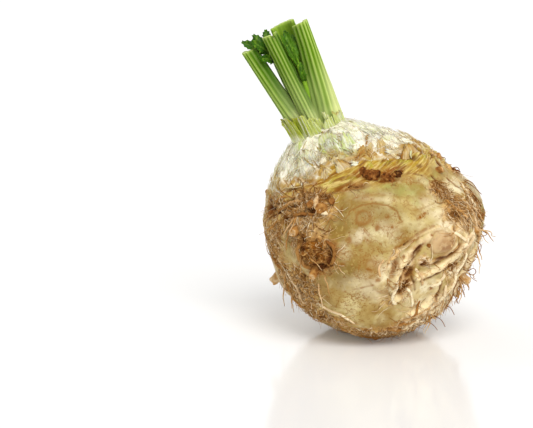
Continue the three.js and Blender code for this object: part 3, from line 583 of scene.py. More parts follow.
def layRings(d, p, edgeNoise, layers, relief):
    at, radius, width, strength = allRings
    centres = at * formRadius(at)[0][:, None]
    for i in range(len(at)):
        near = np.flatnonzero(d @ at[i] > math.cos(2.5 * radius[i] / leastRadius))
        away = np.linalg.norm(p[near] - centres[i], axis=-1) * (1 + 0.2 * edgeNoise[near])
        here = np.exp(-(((away - radius[i]) / width[i]) ** 2)) * strength[i] * (0.7 + 0.5 * edgeNoise[near])
        layers["ring"][near] = np.maximum(layers["ring"][near], here)
        relief[near] += 0.25 * here - 0.2 * strength[i] * smooth(radius[i], 0, away)


# Masks and the fine radius of the root at directions d
def readRoot(d):
    shape = d.shape[:-1]
    d = d.reshape(-1, 3)
    r, trimmed = formRadius(d)
    p = d * r[:, None]
    azimuth, fromAxis = crownPlace(d)
    zone = crownZone
    ragged = layeredNoise(p, 9, 3, 1.5) * math.radians(zone["raggedness"])
    beyond = fromAxis + ragged - crownEdgeAt(azimuth)
    crown = smooth(zone["fade"], -zone["fade"], beyond)
    bandWidth = math.radians(zone["bandWidth"])
    band = (1 - crown) * smooth(bandWidth * 1.5, bandWidth * 0.5, beyond + 0.08 * layeredNoise(p, 14, 2, 5.1))
    relief = np.zeros(len(d))
    edgeNoise = layeredNoise(p, 3.2, 3, 9.4)
    layers = {layer: np.zeros(len(d)) for layer in ("ring", "ridge", "stain")}
    for lay in (layMarks, layLines, layRings):
        lay(d, p, edgeNoise, layers, relief)
    # the underside and the side by the root pole are covered with rootlets, apart from the knife's patches
    ragged = rootyZone["raggedness"] * layeredNoise(p, rootyZone["patchSize"], 3, 3.3)
    pole = smooth(*rootyZone["pole"], dot(d, rootPole) + ragged)
    back = smooth(*rootyZone["back"], d[:, 1])
    spared = smooth(*rootyZone["trimmed"], trimmed)
    under = smooth(*rootyZone["under"], d[:, 2]) * rootyZone["underShare"]
    rooty = np.clip(np.maximum(layers["rooty"], pole * np.maximum(back, under)), 0, 1)
    rooty = rooty * (1 - rootyZone["spared"] * spared * back) * (1 - crown)
    rooty = rooty * (1 - layers["peeled"]) * (1 - layers["cutFace"])
    band = band * (1 - rooty)
    rubbed = rooty
    for axis, ends in enumerate(rootyZone["rubbed"]):
        rubbed = rubbed * smooth(*ends, d[:, axis])
    lumpy = layeredNoise(p, 7, 3, 6.1)
    # leaf scars of the crown, with fibres that fan out from each
    across = np.stack((fromAxis * np.cos(azimuth), fromAxis * np.sin(azimuth)), -1) * meanRadius
    wander = np.stack([layeredNoise(p, 5, 2, shift) for shift in (2.1, 13.3, 24.7)], -1)
    first, second, number = cellNoise(p + 2.2 * wander, zone["scarSize"])
    rim = smooth(0.34, 0.02, second - first)
    bowl = smooth(0.75, 0.1, first)
    turn = azimuth + (number - 0.5) * 2.2
    sideways = across[:, 1] * np.cos(turn) - across[:, 0] * np.sin(turn)
    along = across[:, 0] * np.cos(turn) + across[:, 1] * np.sin(turn)
    fibres = 1 - 2 * np.abs(noiseOn((sideways, 0.16 * along, 40 * number), zone["fibreWidth"] * 1.6, 2))
    relief += crown * (zone["rimHeight"] * rim - zone["scarDepth"] * bowl + zone["fibreHeight"] * fibres
                       + zone["lumpHeight"] * lumpy - 0.1)
    # streaks of the band run round below the crown
    squeezed = p * 0.25 + crownAxis * (dot(p, crownAxis) * 1.8)[:, None]
    streaks = layeredNoise(squeezed, 3.0, 3, 4.4)
    relief += band * (bandRelief["streakHeight"] * streaks + bandRelief["lumpHeight"] * lumpy)
    # cork among the rootlets: small lumps with gaps
    nearest, following, other = cellNoise(p + 1.4 * edgeNoise[:, None], corkRelief["lumpSize"])
    fineNearest, fineFollowing, other = cellNoise(p + 0.8 * edgeNoise[:, None], corkRelief["fineSize"], 5.5)
    bark = smooth(0, 0.5, following - nearest) + 0.5 * smooth(0, 0.5, fineFollowing - fineNearest) - 0.9
    bark = bark + 0.8 * layeredNoise(p, corkRelief["barkSize"], 2, 8.2)
    cork = corkRelief["barkHeight"] * bark + corkRelief["lumpHeight"] * lumpy
    relief += rooty * (1 - 0.9 * layers["ridge"]) * cork
    plain = (1 - crown) * (1 - rooty) * (1 - band)
    wave = plainRelief["waveHeight"] * layeredNoise(p, plainRelief["waveSize"], 3, 0.7)
    grain = plainRelief["grainHeight"] * layeredNoise(p, plainRelief["grainSize"], 2, 3.9)
    relief += plain * (wave + grain)
    layers.update({
        "rooty": rooty, "crown": crown, "band": band,
        "streaks": 0.5 + 0.5 * np.where(crown > 0.5, fibres, streaks * 1.5), "squeezed": squeezed,
        "hollow": np.clip(0.5 - 0.45 * relief, 0, 1),
        "fresh": crown * np.maximum(smooth(0.55, 0.8, number + 0.3 * lumpy) * (1 - rim) * 0.8, layers["green"]),
        "rubbed": rubbed,
        "edge": crown * smooth(-0.17, -0.03, beyond + 0.08 * lumpy),
        "torn": crown * np.maximum(rim * smooth(-0.3, 0.5, layeredNoise(p, 4, 2, 11.0)), layers["ochre"] * 0.8),
    })
    layers["ochre"] = np.clip(layers["ochre"] + 0.35 * layeredNoise(p, 18, 3, 14.0) * plain, 0, 1)
    layers = {name: layer.reshape(shape + layer.shape[1:]) for name, layer in layers.items()}
    return (r + relief).reshape(shape), layers


# Keeps points above what the root rests on
def keepUp(points, lowest):
    points[..., 2] = np.maximum(points[..., 2], lowest)


# Points on the fine surface, lifted, never below what the root rests on
def onRoot(d, lift=0.0, lowest=0.0):
    p = rootCentre + d * (readRoot(d)[0] + lift)[..., None]
    keepUp(p, lowest)
    return p


# The same over the crown, where torn sheets and fibres bridge most of its hollows
def onCrown(d, lift=0.0):
    r, layers = readRoot(d)
    return rootCentre + d * (between(formRadius(d)[0] + 0.2, r, 0.3) + lift)[..., None], layers


# Hairs and fine rootlets, none of them through the floor
def thinTubes(paths, radius, sides=3):
    keepUp(paths, radius + 0.05)
    return sweep(paths, radius, radius, sides)


# A closed mesh from arrays of points and of faces with equal corners
def makeMesh(name, points, faceGroups, layers):
    mesh = bpy.data.meshes.new(name)
    points = np.asarray(points, float).reshape(-1, 3)
    mesh.vertices.add(len(points))
    mesh.vertices.foreach_set("co", (points * 0.001).astype(np.float32).ravel())
    corners = np.concatenate([faces.ravel() for faces in faceGroups]).astype(np.int32)
    sizes = np.concatenate([np.full(len(faces), faces.shape[1]) for faces in faceGroups])
    starts = np.concatenate(([0], np.cumsum(sizes)[:-1])).astype(np.int32)
    mesh.loops.add(len(corners))
    mesh.loops.foreach_set("vertex_index", corners)
    mesh.polygons.add(len(sizes))
    mesh.polygons.foreach_set("loop_start", starts)
    mesh.polygons.foreach_set("use_smooth", np.ones(len(sizes), bool))
    mesh.update(calc_edges=True)
    mesh.validate()
    for layer, values in layers.items():
        kind = "FLOAT_VECTOR" if np.ndim(values) == 2 else "FLOAT"
        attribute = mesh.attributes.new(layer, kind, "POINT")
        key = "vector" if kind == "FLOAT_VECTOR" else "value"
        attribute.data.foreach_set(key, np.asarray(values, np.float32).ravel())
    return mesh


def addPiece(name, points, faces, layers, material, replaced=None):
    mesh = makeMesh(name, points, faces, layers)
    mesh.materials.append(material)
    piece = bpy.data.objects.new(name, mesh)
    bpy.context.collection.objects.link(piece)
    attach(piece, "root")
    if replaced:
        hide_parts(replaced)


# The six sides of a cube blown up to a ball, their shared edges joined, drawn together towards the front
def ballGrid(n, towardsFront):
    s = np.tan(np.linspace(-1, 1, n + 1) * math.pi / 4)
    u, v = np.meshgrid(s, s, indexing="ij")
    one = np.ones_like(u)
    sides = [(one, u, v), (-one, v, u), (v, one, u), (u, -one, v), (u, v, one), (v, u, -one)]
    points = np.concatenate([np.stack(side, -1).reshape(-1, 3) for side in sides])
    cell = np.arange((n + 1) ** 2).reshape(n + 1, n + 1)
    quads = np.stack((cell[:-1, :-1], cell[1:, :-1], cell[1:, 1:], cell[:-1, 1:]), -1).reshape(-1, 4)
    quads = np.concatenate([quads + k * (n + 1) ** 2 for k in range(6)])
    index, back = np.unique(np.round(points, 7), axis=0, return_index=True, return_inverse=True)[1:]
    return unit(unit(points[index]) + np.array((0, -towardsFront, 0))), back.ravel()[quads]


# Tubes along many paths at once: paths (tubes, stations, 3), half widths along and across the surface
def sweep(paths, widths, heights, sides):
    count, stations = paths.shape[:2]
    along = unit(np.gradient(paths, axis=1) + 1e-9)
    tilt = np.array((0.13, 0.21, 0.17))  # so that no path runs straight along it
    across = unit(np.cross(along, unit(paths - rootCentre) + tilt))
    normal = np.cross(across, along)
    angle = 2 * math.pi * np.arange(sides) / sides + math.pi / 2
    rings = (
        paths[:, :, None]
        + across[:, :, None] * (np.cos(angle)[:, None] * widths[..., None, None])
        + normal[:, :, None] * (np.sin(angle)[:, None] * heights[..., None, None])
    )
    first = (np.arange(count * stations) * sides).reshape(count, stations)
    j = np.arange(sides)
    a = first[:, :-1, None] + j
    b = first[:, :-1, None] + (j + 1) % sides
    quads = np.stack((a, a + sides, b + sides, b), -1).reshape(-1, 4)
    caps = np.concatenate((first[:, 0, None] + j, first[:, -1, None] + j[::-1]))
    return rings.reshape(-1, 3), [quads, caps]


# Faces of a grid of point numbers, and the same where its rows are rings
def gridFaces(cell):
    return np.stack((cell[:-1, :-1], cell[:-1, 1:], cell[1:, 1:], cell[1:, :-1]), -1).reshape(-1, 4)


def ringFaces(cell):
    return gridFaces(np.concatenate((cell, cell[:, :1]), axis=1))


# How far along and how far aside each point of a sheet lies
def sheetGrid(rows, columns):
    return np.linspace(0, 1, rows)[:, None], np.linspace(-1, 1, columns)[None, :]


# A closed sheet between two grids of points (rows, columns, 3), or many of them (sheets, rows, columns, 3)
def slab(top, bottom):
    if top.ndim == 3:
        top, bottom = top[None], bottom[None]
    count, rows, columns = top.shape[:3]
    size = rows * columns
    cell = np.arange(size).reshape(rows, columns)
    quads = gridFaces(cell)
    rim = np.concatenate((cell[0, :-1], cell[:-1, -1], cell[-1, :0:-1], cell[:0:-1, 0]))
    after = np.roll(rim, -1)
    walls = np.stack((rim, rim + size, after + size, after), -1)
    one = np.concatenate((quads, quads[:, ::-1] + size, walls))
    faces = (one[None] + (np.arange(count) * 2 * size)[:, None, None]).reshape(-1, 4)
    return np.stack((top, bottom), 1).reshape(-1, 3), [faces]


# Paths that walk over the root from some starts, at an angle from the way to a pole
def walk(starts, angles, lengths, stations, curl, wander, rng, pole=rootPole):
    d = starts
    angle = angles.copy()
    step = lengths / (stations - 1) / meanRadius
    path = [d]
    for k in range(stations - 1):
        towards, across = alongSurface(d, pole)
        heading = towards * np.cos(angle)[:, None] + across * np.sin(angle)[:, None]
        d = unit(d + heading * step[:, None])
        path.append(d)
        angle = angle + curl + rng.normal(0, wander, len(angle))
    return np.stack(path, axis=1)


# Draws in a range, more of them near its first value
def skewed(rng, ends, power, shape):
    return between(*ends, rng.uniform(0, 1, shape) ** power)


# Directions scattered over the ball, kept where a draw falls under the chance
def scatter(count, chance, rng):
    d = unit(rng.normal(size=(count, 3)))
    return d[rng.random(count) < chance(d)]

# An sRGB hex colour as the linear values that a shader takes
def colour(hexCode):
    parts = [int(hexCode[i : i + 2], 16) / 255 for i in (1, 3, 5)]
    return tuple(c / 12.92 if c <= 0.04045 else ((c + 0.055) / 1.055) ** 2.4 for c in parts) + (1,)


# Adds a node: settings go to its own values or else to its sockets, links come from other nodes' sockets
def addNode(tree, kind, settings=None, links=None):
    node = tree.nodes.new(kind)
    for key, value in (settings or {}).items():
        if isinstance(key, str) and hasattr(node, key):
            setattr(node, key, value)
    for key, value in (settings or {}).items():
        if isinstance(key, int) or not hasattr(node, key):
            node.inputs[key].default_value = value
    for key, source in (links or {}).items():
        tree.links.new(source, node.inputs[key])
    return node


def newMaterial(name, values):
    material = bpy.data.materials.new(name)
    material.use_nodes = True
    tree = material.node_tree
    tree.nodes.clear()
    shader = addNode(tree, "ShaderNodeBsdfPrincipled", values)
    addNode(tree, "ShaderNodeOutputMaterial", links={"Surface": shader.outputs[0]})
    return material, tree, shader


# Lays coats over a ground, a colour or another node's. A coat has its colour, how much of it shows, the mask on
# the mesh that it keeps to or None, and the grain that breaks it up or None: size in mm, where in the noise it
# starts and is full, and for thin lines the level of the noise that they follow.
def paintCoats(tree, shader, ground, coats, place=None):
    perUnit = 1 if place else 1000  # the mesh's own string coordinates are in mm, object space is in metres
    place = place or addNode(tree, "ShaderNodeTexCoord").outputs["Object"]
    below = None if isinstance(ground, str) else ground
    for shade, amount, mask, grain in coats:
        factor = None
        if grain:
            size, start, full, *level = grain
            noise = addNode(tree, "ShaderNodeTexNoise", {"Scale": perUnit / size, "Detail": 4}, {"Vector": place})
            value = noise.outputs["Fac"]
            if level:
                apart = {"operation": "SUBTRACT", 1: level[0]}
                value = addNode(tree, "ShaderNodeMath", apart, {0: value}).outputs[0]
                value = addNode(tree, "ShaderNodeMath", {"operation": "ABSOLUTE"}, {0: value}).outputs[0]
            spread = {"From Min": start, "From Max": full, "To Max": amount}
            factor = addNode(tree, "ShaderNodeMapRange", spread, {"Value": value}).outputs[0]
        if mask:
            held = addNode(tree, "ShaderNodeAttribute", {"attribute_name": mask}).outputs["Fac"]
            links = {0: held, 1: factor} if grain else {0: held}
            settings = {"operation": "MULTIPLY", "use_clamp": True, 1: amount}
            factor = addNode(tree, "ShaderNodeMath", settings, links).outputs[0]
        links = {0: factor, 6: below} if below else {0: factor}
        settings = {"data_type": "RGBA", 7: colour(shade)}
        if not below:
            settings[6] = colour(ground)
        below = addNode(tree, "ShaderNodeMix", settings, links).outputs[2]
    tree.links.new(below, shader.inputs["Base Color"])
    return below


print("materials")

# Peeled celeriac: moist cream flesh with yellow, ochre and greenish patches, brown scars and specks, white torn
# fibre at the crown, and rough earthy cork where the rootlets grow. Wet cuts give it soft, low highlights.
celeriacSkin = {
    "ground": "#b8a163",
    "coats": (
        ("#8f6828", 0.7, None, (13, 0.42, 0.6)),
        ("#ddd09f", 0.6, None, (9, 0.5, 0.66)),
        ("#8d6526", 0.5, None, (3.6, 0.56, 0.68)),
        ("#84692a", 0.9, "ochre", (9, 0.15, 0.42)),
        ("#c3aa66", 0.5, "ochre", (1.7, 0.54, 0.68)),
        ("#97834f", 0.75, "grey", (5, 0.2, 0.5)),
        ("#9ca757", 0.75, "green", (8, 0.25, 0.55)),
        ("#f3e6c4", 0.9, "pale", (4, 0.25, 0.48)),
        ("#7d4d18", 0.6, None, (1.5, 0.61, 0.68)),
        ("#8a5a20", 0.8, "scribbled", (6, 0.02, 0.005, 0.47)),
        ("#94682c", 0.65, "scribbled", (3.4, 0.026, 0.008, 0.56)),
        ("#8a5a20", 0.6, "scribbled", (1.6, 0.6, 0.68)),
        ("#a98226", 0.97, "band", (12, 0.15, 0.45)),
        # the band's raised streaks: their own lighter colour with painted highlight
        ("#d6c572", 0.85, "bandLight", None),
        ("#9a921c", 0.9, "bandGreen", None),
        # the band's low streaks: their own darker colour with painted shade
        ("#643a0e", 0.9, "bandDark", None),
        ("#f5efd9", 1.0, "crown", None),
        ("#b8a468", 0.5, "crown", (2.6, 0.52, 0.68)),
        # pale crown fibres, with painted highlight where they stand out
        ("#fbf6e0", 0.9, "fibreLight", None),
        ("#b4c765", 0.85, "fresh", (4, 0.3, 0.55)),
        ("#b08a38", 0.95, "edge", (4, 0.25, 0.5)),
        ("#8f6526", 0.75, "torn", (3, 0.4, 0.6)),
        ("#d5a866", 1.0, "rooty", None),
        ("#5e300e", 0.8, "rooty", (2.2, 0.55, 0.64)),
        # painted highlight on the raised tops of the cork's lumps
        ("#dfb975", 0.85, "corkTop", (4, 0.3, 0.6)),
        ("#fbeed0", 1.0, "rubbed", (3, 0.2, 0.45)),
        ("#75481a", 0.5, "rooty", (1.5, 0.59, 0.68)),
        ("#ecd7a6", 0.97, "ridge", (4, 0.1, 0.35)),
        ("#b98a4a", 0.6, "ridge", (2.4, 0.54, 0.64)),
        ("#cbb682", 1.0, "peeled", (5, 0.1, 0.35)),
        ("#ebe0bd", 0.7, "peeled", (6, 0.46, 0.6)),
        ("#a5824c", 0.6, "peeled", (2.4, 0.54, 0.66)),
        ("#c4a578", 1.0, "cutFace", None),
        ("#9c7858", 0.6, "cutFace", (4.0, 0.48, 0.6)),
        ("#8f642b", 1.1, "ring", None),
        # brown stains and specks, with painted shade round knobs, along crevices and beside the ridge
        ("#87500c", 1.3, "stain", (2.0, 0.3, 0.5)),
        # painted shade in the hollows of the relief
        ("#5c2e0a", 0.9, "deep", None),
        # brown crevice matter with painted shade in crevices, hollows and under the knob row
        ("#5c3010", 0.97, "dark", None),
    ),
    "bandStreaks": (
        ("#dfc981", 0.7, "band", (1.9, 0.5, 0.64)),
        ("#75470f", 0.85, "band", (2.8, 0.53, 0.63)),
        ("#bfa73c", 0.55, "band", (2.2, 0.55, 0.66)),
        ("#8a5a14", 0.6, "band", (0.7, 0.55, 0.62)),
    ),
    "roughness": 0.38,
    "corkRoughness": 0.85,
    "shader": {
        "Specular IOR Level": 0.13, "Subsurface Weight": 0.1, "Subsurface Radius": (1, 0.7, 0.35),
        "Subsurface Scale": 0.0018,  # m
    },
    "grain": 1.1,  # mm
    "relief": {"Strength": 0.6, "Distance": 0.0007},  # m
}


def makeSkin():
    look = celeriacSkin
    material, tree, shader = newMaterial("moistCeleriacSkin", look["shader"])
    streaked = addNode(tree, "ShaderNodeAttribute", {"attribute_name": "squeezed"}).outputs["Vector"]
    below = paintCoats(tree, shader, look["ground"], look["coats"])
    paintCoats(tree, shader, below, look["bandStreaks"], streaked)
    rough = addNode(tree, "ShaderNodeAttribute", {"attribute_name": "rough"}).outputs["Fac"]
    spread = {"To Min": look["roughness"], "To Max": look["corkRoughness"]}
    roughness = addNode(tree, "ShaderNodeMapRange", spread, {"Value": rough})
    tree.links.new(roughness.outputs[0], shader.inputs["Roughness"])
    place = addNode(tree, "ShaderNodeTexCoord").outputs["Object"]
    grain = {"Scale": 1000 / look["grain"], "Detail": 4, "Roughness": 0.6}
    grit = addNode(tree, "ShaderNodeTexNoise", grain, {"Vector": place})
    amount = addNode(tree, "ShaderNodeMath", {"operation": "MULTIPLY_ADD", 1: 0.85, 2: 0.15}, {0: rough})
    links = {0: grit.outputs["Fac"], 1: amount.outputs[0]}
    height = addNode(tree, "ShaderNodeMath", {"operation": "MULTIPLY"}, links)
    bump = addNode(tree, "ShaderNodeBump", look["relief"], {"Height": height.outputs[0]})
    tree.links.new(bump.outputs[0], shader.inputs["Normal"])
    return material


skinMaterial = makeSkin()

# scribble is the place on the front with the most fine brown lines, in the picture's points
rootMesh = {"cells": 126, "towardsFront": 0.2, "scribble": (380, 240)}


def buildRoot():
    d, quads = ballGrid(rootMesh["cells"], rootMesh["towardsFront"])
    r, layers = readRoot(d)
    points = rootCentre + d * r[:, None]
    keepUp(points, 0)
    streaks, hollow, crown, rooty = (layers[name] for name in ("streaks", "hollow", "crown", "rooty"))
    masks = {name: layers[name] for name in (
        "ochre", "grey", "green", "pale", "crown", "edge", "fresh", "torn", "rooty", "ridge", "peeled", "cutFace",
        "ring", "stain", "dark", "squeezed",
    )}
    nearScribble = smooth(0.45, 0.1, angleBetween(d, facing(*rootMesh["scribble"])))
    scribbled = smooth(-0.1, 0.5, layeredNoise(points, 9, 2, 21.0) + 0.4 * nearScribble)
    masks["scribbled"] = (1 - layers["band"]) * (1 - crown) * (1 - rooty) * scribbled
    masks["band"] = layers["band"] * (1 - layers["dark"])
    # the band lighter on raised streaks and darker in low ones: the streaks' own colours together with painted
    # highlight and painted shade
    masks["bandLight"] = layers["band"] * smooth(0.55, 0.8, streaks) * 0.7
    masks["bandDark"] = layers["band"] * smooth(0.42, 0.15, streaks) * 0.9
    masks["rubbed"] = layers["rubbed"] * smooth(0.75, 0.45, hollow)
    masks["bandGreen"] = layers["band"] * np.clip(layers["green"] + 0.5 * smooth(0.6, 0.9, streaks), 0, 1)
    # pale fibres of the crown, lighter where they stand out of the hollows as painted highlight
    masks["fibreLight"] = crown * smooth(0.45, 0.8, streaks) * smooth(0.75, 0.4, hollow)
    # painted highlight: the cork lighter where its relief stands high
    masks["corkTop"] = rooty * smooth(0.52, 0.2, hollow)
    # painted shade: darker where the relief lies low, most among the cork and least on the crown
    masks["deep"] = smooth(0.62, 1.0, hollow) * (0.35 + 0.65 * rooty) * (1 - 0.7 * crown)
    masks["rough"] = np.maximum(np.maximum(crown * 0.6, rooty * (1 - 0.8 * layers["ridge"])),
                                np.minimum(1, 1.5 * layers["dark"] + masks["deep"]))
    addPiece("rootBody", points, [quads], masks, skinMaterial, "root")


buildRoot()
print("root body")


# A white acrylic sheet that gives a faint, clean reflection, in a white room with one large soft lamp
studio = {
    "floorSize": 9,  # m
    "floorColour": "#eeedeb",
    "floorRoughness": 0.14,
    "floorGlow": 0.06,
    "backColour": "#ffffff",
    "fill": 0.5,
    "keyFrom": (0.2, -0.8, 1.1),
    "keyAngle": 35,  # degrees
    "keyStrength": 2.1,
    "frontFrom": (0.7, -1.0, 0.16),
    "frontAngle": 50,
    "frontStrength": 1.15,
    "backFrom": (-0.9, 0.7, 0.8),
    "backAngle": 60,
    "backStrength": 0.6,
    "lens": 18 * 1200 / 142.04,  # mm: half the sensor, and half the picture's width where the object stands
}


def buildStudio():
    scene = bpy.context.scene
    scene.view_settings.view_transform = "Standard"
    half = studio["floorSize"] / 2
    mesh = bpy.data.meshes.new("studioFloor")
    mesh.from_pydata([(-half, -half, 0), (half, -half, 0), (half, half, 0), (-half, half, 0)], [], [(0, 1, 2, 3)])
    floor = bpy.data.objects.new("studioFloor", mesh)
    bpy.context.collection.objects.link(floor)
    material = newMaterial("whiteAcrylicSheet", {
        "Base Color": colour(studio["floorColour"]), "Roughness": studio["floorRoughness"],
        "Emission Color": colour(studio["backColour"]), "Emission Strength": studio["floorGlow"],
    })[0]
    mesh.materials.append(material)

    world = bpy.data.worlds.new("studioAir")
    world.use_nodes = True
    scene.world = world
    tree = world.node_tree
    tree.nodes.clear()
    rays = addNode(tree, "ShaderNodeLightPath").outputs
    links = {0: rays["Is Camera Ray"], 1: rays["Is Glossy Ray"]}
    ray = addNode(tree, "ShaderNodeMath", {"operation": "MAXIMUM"}, links).outputs[0]
    seen = addNode(tree, "ShaderNodeBackground", {"Color": colour(studio["backColour"]), "Strength": 1.0})
    lit = addNode(tree, "ShaderNodeBackground", {"Color": (1, 1, 1, 1), "Strength": studio["fill"]})
    mix = addNode(tree, "ShaderNodeMixShader", links={0: ray, 1: lit.outputs[0], 2: seen.outputs[0]})
    addNode(tree, "ShaderNodeOutputWorld", links={"Surface": mix.outputs[0]})

    for name in ("key", "front", "back"):
        light = bpy.data.lights.new(name + "Light", "SUN")
        light.angle = math.radians(studio[name + "Angle"])
        light.energy = studio[name + "Strength"]
        lamp = bpy.data.objects.new(name + "Light", light)
        lamp.rotation_euler = (-Vector(studio[name + "From"])).to_track_quat("-Z", "Y").to_euler()
        bpy.context.collection.objects.link(lamp)

    camera = bpy.data.cameras.new("camera")
    camera.sensor_width = 36
    camera.lens = studio["lens"]
    camera.clip_end = 50
    eye = bpy.data.objects.new("camera", camera)
    eye.location = np.array(view["target"]) * 0.001 + towardsCamera * view["distance"] * 0.001
    eye.rotation_euler = (math.pi / 2 - frontTilt, 0, 0)
    bpy.context.collection.objects.link(eye)
    scene.camera = eye


buildStudio()
print("studio")




# Cork of rootlets and side roots: dry, dull and earthy brown where it is old, pale tan where it was rubbed
# or peeled. Each strand carries how far it is rubbed and how old it is.
corkyRootlet = {
    "ground": "#bd8b4a",
    "coats": (
        ("#f5e6c0", 1.0, "peeled", (3, 0.15, 0.4)),
        ("#8e5a24", 0.45, None, (1.3, 0.52, 0.64)),
        ("#77441a", 1.0, "old", (2.4, 0.15, 0.45)),
        ("#2a1205", 0.92, "burnt", (1.4, 0.2, 0.5)),
    ),
    "shader": {"Roughness": 0.8, "Specular IOR Level": 0.06},
    "grain": 0.9,  # mm
    "relief": {"Strength": 0.8, "Distance": 0.0004},  # m
}


# A finish: coats over a ground, the shader's own values, and a fine relief. Where the mesh has string coordinates,
# both follow the strings.
def makeFinish(name, look, stringy=False):
    material, tree, shader = newMaterial(name, look["shader"])
    along = None
    if stringy:
        along = addNode(tree, "ShaderNodeAttribute", {"attribute_name": "strings"}).outputs["Vector"]
    paintCoats(tree, shader, look["ground"], look["coats"], along)
    place = along or addNode(tree, "ShaderNodeTexCoord").outputs["Object"]
    grain = {"Scale": (1 if stringy else 1000) / look["grain"], "Detail": 3}
    noise = addNode(tree, "ShaderNodeTexNoise", grain, {"Vector": place})
    bump = addNode(tree, "ShaderNodeBump", look["relief"], {"Height": noise.outputs["Fac"]})
    tree.links.new(bump.outputs[0], shader.inputs["Normal"])
    return material


# A piece of cork, its masks from one tone: under 0.6 is peeled, over it old, over 1 burnt dark
def addCork(name, points, faces, tone):
    masks = {"peeled": smooth(0.65, 0.15, tone), "old": smooth(0.5, 1, tone), "burnt": smooth(0.95, 1.25, tone)}
    addPiece(name, points, faces, masks, rootletMaterial)


rootletMaterial = makeFinish("corkyRootlet", corkyRootlet)


# A smooth line through a few points, at equal steps
def throughPoints(points, stations):
    points = np.asarray(points, float)
    ends = np.concatenate((2 * points[:1] - points[1:2], points, 2 * points[-1:] - points[-2:-1]))
    t = np.linspace(0, len(points) - 1, stations)
    i = np.minimum(t.astype(int), len(points) - 2)
    f = (t - i)[:, None]
    a, b, c, d = (ends[i + k] for k in range(4))
    return curveBetween(a, b, c, d, f)


# Side roots that lie along the skin. On the front: places in the picture's points, half width and how flat,
# and tone; the others as in the solid, then more of them, drawn.
sideRoots = {
    "front": (
        (((471, 232), (465, 240), (459, 248)), 1.3, 0.8, 0.3),
        (((477, 240), (473, 258), (464, 276), (453, 294)), 1.2, 0.8, 0.3),
        (((400, 323), (415, 314), (429, 307), (442, 296)), 1.5, 0.6, 0.5),
        (((405, 287), (410, 292), (412, 300), (412, 309)), 0.7, 0.8, 0.15),
        (((396, 333), (408, 326), (420, 319)), 0.9, 0.8, 0.3),
        (((466, 205), (473, 216), (477, 230), (476, 246)), 1.2, 0.7, 0.45),
        (((458, 182), (468, 192), (474, 204)), 0.9, 0.7, 0.35),
        (((276, 213), (284, 208), (293, 202), (303, 200)), 0.9, 0.7, 0.6),
        (((270, 205), (279, 201), (289, 196)), 0.9, 0.7, 0.6),
        (((288, 222), (299, 214), (312, 214), (322, 210)), 0.9, 0.8, 0.7),
        (((302, 198), (295, 189), (290, 177)), 0.2, 0.9, 0.95),
        (((305, 198), (303, 186), (306, 178)), 0.2, 0.9, 0.9),
        (((309, 198), (311, 189), (320, 182)), 0.2, 0.9, 0.95),
        (((297, 200), (287, 195), (279, 187)), 0.25, 0.9, 0.85),
        (((312, 200), (321, 196), (330, 188)), 0.2, 0.9, 0.9),
        (((306, 202), (315, 193), (313, 183)), 0.2, 0.9, 1.0),
        (((292, 204), (279, 199), (272, 192)), 0.25, 0.9, 0.8),
        (((300, 204), (298, 193), (288, 187)), 0.2, 0.9, 1.0),
        (((316, 204), (323, 199), (337, 203)), 0.25, 0.9, 0.85),
        (((298, 206), (309, 201), (318, 192)), 0.3, 0.9, 0.95),
        (((290, 200), (295, 192), (306, 190)), 0.2, 0.9, 0.9),
        (((286, 198), (290, 188), (285, 180)), 0.2, 0.9, 0.8),
        (((318, 196), (316, 204), (321, 211), (327, 214)), 1.4, 0.9, 0.4),
        (((301, 243), (298, 252), (303, 263), (313, 270)), 1.3, 0.8, 0.75),
        (((325, 240), (333, 247), (334, 258), (329, 267)), 1.1, 0.8, 0.75),
        (((447, 283), (441, 296), (431, 307), (417, 317)), 1.3, 0.6, 0.3),
        (((457, 271), (451, 284), (443, 298), (434, 309)), 1.2, 0.7, 0.25),
        (((466, 251), (461, 264), (454, 277)), 1.3, 0.7, 0.2),
        (((474, 222), (471, 236), (466, 248), (463, 256)), 1.2, 0.7, 0.35),
        (((452, 232), (461, 238), (465, 246)), 1.0, 0.8, 0.4),
        (((446, 272), (440, 281), (430, 287)), 1.0, 0.6, 0.2),
        (((415, 268), (421, 277), (422, 286)), 0.8, 0.8, 0.4),
        (((398, 283), (392, 296), (397, 306)), 1.0, 0.7, 0.3),
        (((385, 258), (379, 268), (381, 279)), 0.6, 0.5, 0.45),
        (((449, 313), (440, 320), (428, 325), (412, 328)), 1.2, 0.7, 0.5),
        (((419, 320), (408, 324), (396, 326)), 0.9, 0.7, 0.6),
        (((467, 284), (459, 296), (449, 307)), 1.1, 0.7, 0.5),
        (((468, 208), (476, 218), (480, 231)), 0.9, 0.8, 0.55),
        (((445, 198), (452, 207), (462, 213), (468, 222)), 0.9, 0.8, 0.6),
        (((434, 184), (439, 192), (447, 197)), 0.7, 0.8, 0.7),
    ),
    "clearKnob": (316, 250),  # the knob at the left, which the drawn ones keep clear of, in the picture's points
    "extra": 90,
    "extraTries": 1500,
    "extraSeed": 71,
    "bark": 0.14,
    "extraRadius": (0.5, 1.5),
    "extraLength": (12, 34),
    "stations": 18,
    "sides": 8,
}
strandSpec = {"count": 6, "round": (80, 280), "up": (-20, 14), "sway": (-0.5, 0.5), "reach": (0.45, 0.75),
              "radius": (1.4, 2.3), "seed": 23}


